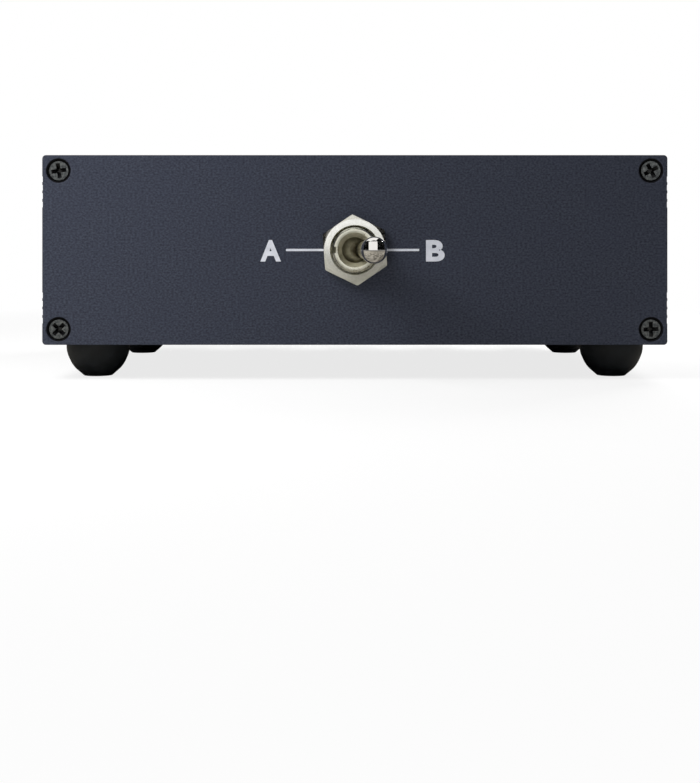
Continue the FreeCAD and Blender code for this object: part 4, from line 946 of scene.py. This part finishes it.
# %% Set the screws
HEAD_SINK = 0.37 * MM
FRONT_TURNS = {(-1, -1): 45, (-1, 1): 8, (1, -1): 2, (1, 1): 28}
REAR_TURNS = {(-1, -1): 62, (-1, 1): 18, (1, -1): 30, (1, 1): 20}
FOOT_RADIUS = 8.7 * MM
FOOT_SCREW_LEVEL = 5.12 * MM
chance = random.Random(5)
foot_low, foot_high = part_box("rubber_feet")
for side in (-1, 1):
    for row in (-1, 1):
        tag = f"{'left' if side < 0 else 'right'}_{'low' if row < 0 else 'high'}"
        spot = (side * screw_x, row * screw_z)
        foot_x = side * (foot_high.x - FOOT_RADIUS)
        foot_y = foot_low.y + FOOT_RADIUS if row < 0 else foot_high.y - FOOT_RADIUS
        foot = Matrix.Translation((foot_x, foot_y, FOOT_SCREW_LEVEL)) @ turned(180, "X")
        places = {
            "front": facing_front(*spot, y=front_face + HEAD_SINK, turn=FRONT_TURNS[side, row]),
            "rear": facing_rear(*spot, y=rear_face - HEAD_SINK, turn=REAR_TURNS[side, row]),
            "foot": foot @ Matrix.Rotation(chance.uniform(0, math.pi / 2), 4, "Z"),
        }
        for end, matrix in places.items():
            add_piece(f"{end}_screw_{tag}", screw_mesh, "case", matrix, ["machine_screws"])
print("screws set: 12")

# %% [markdown]
# ## Printed marks
# The front has a letter for each lever position, with a fine line to the switch. The rear has two
# dividing lines and a plain row of marks between the posts. Each mark is a thin film of ink on the
# paint. Bold print is the plain built-in face with its outline swollen and its letters set a little apart.

# %% Ink helpers
INK_THICKNESS = 0.03


def lift_ink(work, faces):
    """Gives flat faces the thickness of the ink."""
    lifted = bmesh.ops.extrude_face_region(work, geom=faces)
    for part in lifted["geom"]:
        if isinstance(part, bmesh.types.BMVert):
            part.co.z += INK_THICKNESS * MM
    bmesh.ops.recalc_face_normals(work, faces=work.faces)


def print_mark(name, work, matrix):
    mesh = mesh_from(work, name)
    mesh.materials.append(white_ink)
    add_piece(name, mesh, "case", matrix)


def ink_line(name, wide, tall, matrix):
    """A printed line with rounded ends, wide and tall in millimetres, centred on the place."""
    radius = min(wide, tall) / 4
    outline = []
    for across, along, start in ((1, 1, 0), (-1, 1, 90), (-1, -1, 180), (1, -1, 270)):
        for step in range(5):
            turn = math.radians(start + 90 * step / 4)
            outline.append((across * (wide / 2 - radius) + radius * math.cos(turn),
                            along * (tall / 2 - radius) + radius * math.sin(turn)))
    work = bmesh.new()
    base = [work.verts.new((x * MM, y * MM, 0)) for x, y in outline]
    lift_ink(work, [work.faces.new(base)])
    print_mark(name, work, matrix)


def ink_word(name, word, cap_height, width, matrix, weight=0.04):
    """Bold capitals of a given height and width in millimetres, centred on the place."""
    curve = bpy.data.curves.new(name, "FONT")
    curve.body = word
    curve.size = 1
    curve.offset = weight
    curve.space_character = 1.12
    curve.space_word = 0.7
    curve.resolution_u = 6
    item = place_new(name, curve)
    depsgraph = bpy.context.evaluated_depsgraph_get()
    mesh = bpy.data.meshes.new_from_object(item.evaluated_get(depsgraph))
    bpy.data.objects.remove(item)
    xs = [vertex.co.x for vertex in mesh.vertices]
    ys = [vertex.co.y for vertex in mesh.vertices]
    middle = Vector(((min(xs) + max(xs)) / 2, (min(ys) + max(ys)) / 2, 0))
    across, along = max(xs) - min(xs), max(ys) - min(ys)
    scale = Matrix.Diagonal((width / across * MM, cap_height / along * MM, 1, 1))
    mesh.transform(scale @ Matrix.Translation(-middle))
    work = bmesh.new()
    work.from_mesh(mesh)
    bmesh.ops.remove_doubles(work, verts=work.verts, dist=2 * WELD * MM)
    lift_ink(work, work.faces[:])
    print_mark(name, work, matrix)


# %% Front marks
LETTER_HEIGHT = 5.75
LETTER_DROP = -0.2
LINE_WIDTH = 0.62
for name, letter, wide, x in (("mark_a", "A", 5.5, -22.5), ("mark_b", "B", 5.0, 21.5)):
    ink_word(name, letter, LETTER_HEIGHT, wide, facing_front(x * MM, LETTER_DROP * MM))
for name, start, end in (("line_left", -18.4, -7.5), ("line_right", 7.4, 17.2)):
    ink_line(name, end - start, LINE_WIDTH, facing_front((start + end) / 2 * MM, 0))

# %% Rear marks
REAR_LETTER = 4.1
DIVIDER_X = 27.1
DIVIDER_WIDTH = 0.55
MARK_LEVEL = -0.9
GROUP_STEP = 54.28
FINE, BOLD = 0.03, 0.045
divider_tall = 2 * panel_half_height / MM - 0.3
for name, side in (("divider_left", 1), ("divider_right", -1)):
    ink_line(name, DIVIDER_WIDTH, divider_tall, facing_rear(side * DIVIDER_X * MM, 0, turn=180))
for group, word, wide in ((1, "INPUT B", 18.0), (0, "OUTPUT", 18.4), (-1, "INPUT A", 18.0)):
    middle = group * GROUP_STEP
    tag = word.replace(" ", "_").lower()
    marks = (("r", "R", 13.6, 3.5, FINE), ("word", word, -0.6, wide, BOLD), ("l", "L", -14.1, 2.9, FINE))
    for part, letters, offset, width, weight in marks:
        ink_word(f"mark_{tag}_{part}", letters, REAR_LETTER, width,
                 facing_rear((middle + offset) * MM, MARK_LEVEL * MM, turn=180), weight)

# %% [markdown]
# ## Studio
# The picture is taken on a white sweep under large soft lamps. The world is white where the camera, a
# reflection or a clear piece sees it, and a mild grey where it only lights. Close to the box the camera
# sees the floor as four fifths glow over a lit white surface, a painted light that leaves only a faint
# shadow; further out the glow takes over wholly to meet the backdrop.

# %% World
AMBIENT = 0.07
world = bpy.data.worlds.new("studio")
bpy.context.scene.world = world
world.use_nodes = True
tree = world.node_tree
tree.nodes.clear()
path = tree.nodes.new("ShaderNodeLightPath")
seen = path.outputs["Is Camera Ray"]
for ray in ("Is Glossy Ray", "Is Transmission Ray"):
    seen = maths(tree, "MAXIMUM", seen, path.outputs[ray])
tone = blend_colours(tree, seen, grey(AMBIENT), grey(1.0))
background = add_node(tree, "ShaderNodeBackground", Color=tone, Strength=1.0)
add_node(tree, "ShaderNodeOutputWorld", (background.outputs[0],))

# %% Floor
FLOOR_SIZE = 3.0
GLOW_STARTS, GLOW_ENDS = 0.12, 0.4
GLOW_LOW = 0.8
floor_finish, tree, shader = new_finish("studio_floor")
dress(tree, shader, Base_Color=grey(0.93), Roughness=0.9, Specular_IOR_Level=0.1)
away = add_node(tree, "ShaderNodeVectorMath", (own_place(tree),), operation="LENGTH")
# Painted light: near the box four fifths of what the camera sees of the floor is glow, which lifts most of
# the shadow.
far = spread(tree, away.outputs["Value"], GLOW_STARTS, GLOW_ENDS, GLOW_LOW)
path = tree.nodes.new("ShaderNodeLightPath")
shown = maths(tree, "MULTIPLY", far, path.outputs["Is Camera Ray"])
glow = add_node(tree, "ShaderNodeEmission", Strength=1.0)
mix = add_node(tree, "ShaderNodeMixShader", (shown, shader.outputs[0], glow.outputs[0]))
tree.links.new(mix.outputs[0], tree.nodes["Material Output"].inputs["Surface"])
bpy.ops.mesh.primitive_plane_add(size=FLOOR_SIZE)
floor = bpy.context.object
floor.name = "floor"
floor.data.materials.append(floor_finish)
floor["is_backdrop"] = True

# %% [markdown]
# Polished metal shows the whole room, so a photographer hangs dark cloths beside the table and leaves one
# bright strip that climbs the front wall, crosses the ceiling and comes down behind. The cloths below are
# seen by reflections only. They give the ball of the lever its dark upper half with a white pane in it,
# they blacken the chamfers that look sideways, and they keep a haze off the paint. Their places are told
# as the ball shows them: a pane has its left and right edges and the level of the bar over it. A mottled
# cover on the table does the same from below.

# %% Dark cloths round a bright strip
cloth_finish, tree, shader = new_finish("studio_cloth")
weave = spread(tree, noise(tree, 320.0, 3.0), 0.5, 0.75)
dress(tree, shader, Base_Color=blend_colours(tree, weave, grey(0.008), grey(0.3)), Roughness=1.0,
      Specular_IOR_Level=0.0)


def hang_cloth(name, mesh, finish=cloth_finish):
    """A cloth that only reflections see."""
    mesh.materials.append(finish)
    item = place_new(name, mesh)
    item.visible_camera = False
    item.visible_diffuse = False
    item.visible_transmission = False
    item.visible_shadow = False
    item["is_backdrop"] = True


DOME_RADIUS = 1.45
FRONT_PANE = (-0.4, 0.24, 0.64)
REAR_PANE = (-0.3, 0.16, 0.69)
EDGE = math.sqrt(0.5)
ball_centre = Vector((0, front_face - 20 * MM, panel_middle_z))


def glance(across, up, to_rear):
    """Where a ball shows a thing, as shares of its radius, gives the direction of that thing."""
    inward = math.sqrt(max(1 - across ** 2 - up ** 2, 0))
    direction = Vector((2 * inward * across, 1 - 2 * inward ** 2, 2 * inward * up))
    if to_rear:
        direction.y = -direction.y
    return direction


def hang_patch(name, left, right, low, to_rear=False, steps=16):
    """A curved cloth that fills the ball from left to right, and from low up to the zenith."""
    rows = []
    for row in range(steps + 1):
        across = left + (right - left) * row / steps
        top = math.sqrt(max(0.5 - across ** 2, 0))
        start = min(low, top)
        ups = [start + (top - start) * step / steps for step in range(steps + 1)]
        rows.append([ball_centre + DOME_RADIUS * glance(across, up, to_rear) for up in ups])
    work = bmesh.new()
    grid = [[work.verts.new(corner) for corner in row] for row in rows]
    for near, far in zip(grid, grid[1:]):
        for index in range(steps):
            work.faces.new((near[index], far[index], far[index + 1], near[index + 1]))
    hang_cloth(name, mesh_from(work, name))


for to_rear, end, (left, right, bar) in ((False, "front", FRONT_PANE), (True, "rear", REAR_PANE)):
    hang_patch(f"left_cloth_{end}", -EDGE, left, 0.0, to_rear)
    hang_patch(f"right_cloth_{end}", right, EDGE, 0.0, to_rear)
    hang_patch(f"cross_bar_{end}", left, right, bar, to_rear)

# %% Table cover
COVER_HALF = 1.4
COVER_LEVEL = 0.4 * MM
COVER_DARK, COVER_LIGHT = (0.14, 0.13, 0.11, 1), (0.52, 0.49, 0.43, 1)
cover_finish, tree, shader = new_finish("studio_cover")
speckle = spread(tree, noise(tree, 16.0, 3.0), 0.35, 0.65)
dress(tree, shader, Base_Color=blend_colours(tree, speckle, COVER_DARK, COVER_LIGHT), Roughness=1.0)
work = bmesh.new()
work.faces.new([work.verts.new((x * COVER_HALF, y * COVER_HALF, COVER_LEVEL))
                for x, y in ((-1, -1), (1, -1), (1, 1), (-1, 1))])
hang_cloth("table_cover", mesh_from(work, "table_cover"), cover_finish)

# %% [markdown]
# A soft lamp stands close to each end of the box, high and to the left of the face that it lights, and a
# wide one hangs overhead. Only the rear one shows in reflections.

# %% Lamps
KEY_WIDTH, KEY_HEIGHT = 0.2, 0.16


def soft_lamp(name, place, target, power, width=KEY_WIDTH, height=KEY_HEIGHT):
    data = bpy.data.lights.new(name, "AREA")
    data.shape = "RECTANGLE"
    data.size = width
    data.size_y = height
    data.energy = power
    lamp = place_new(name, data)
    lamp.location = place
    lamp.rotation_euler = (Vector(target) - Vector(place)).to_track_quat("-Z", "Y").to_euler()
    lamp.visible_glossy = False
    return lamp


soft_lamp("key_front", (-0.18, -0.145, 0.21), (-0.04, -0.05, 0.04), power=0.96)
soft_lamp("key_rear", (0.19, 0.22, 0.2), (0.03, 0.05, 0.04), power=1.5).visible_glossy = True
soft_lamp("overhead", (0, 0, 1.1), (0, 0, 0), power=0.8, width=0.9, height=0.9)

# %% Sizes
low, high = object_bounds()
print("visual box in mm:", [round(v / MM, 2) for v in high - low])
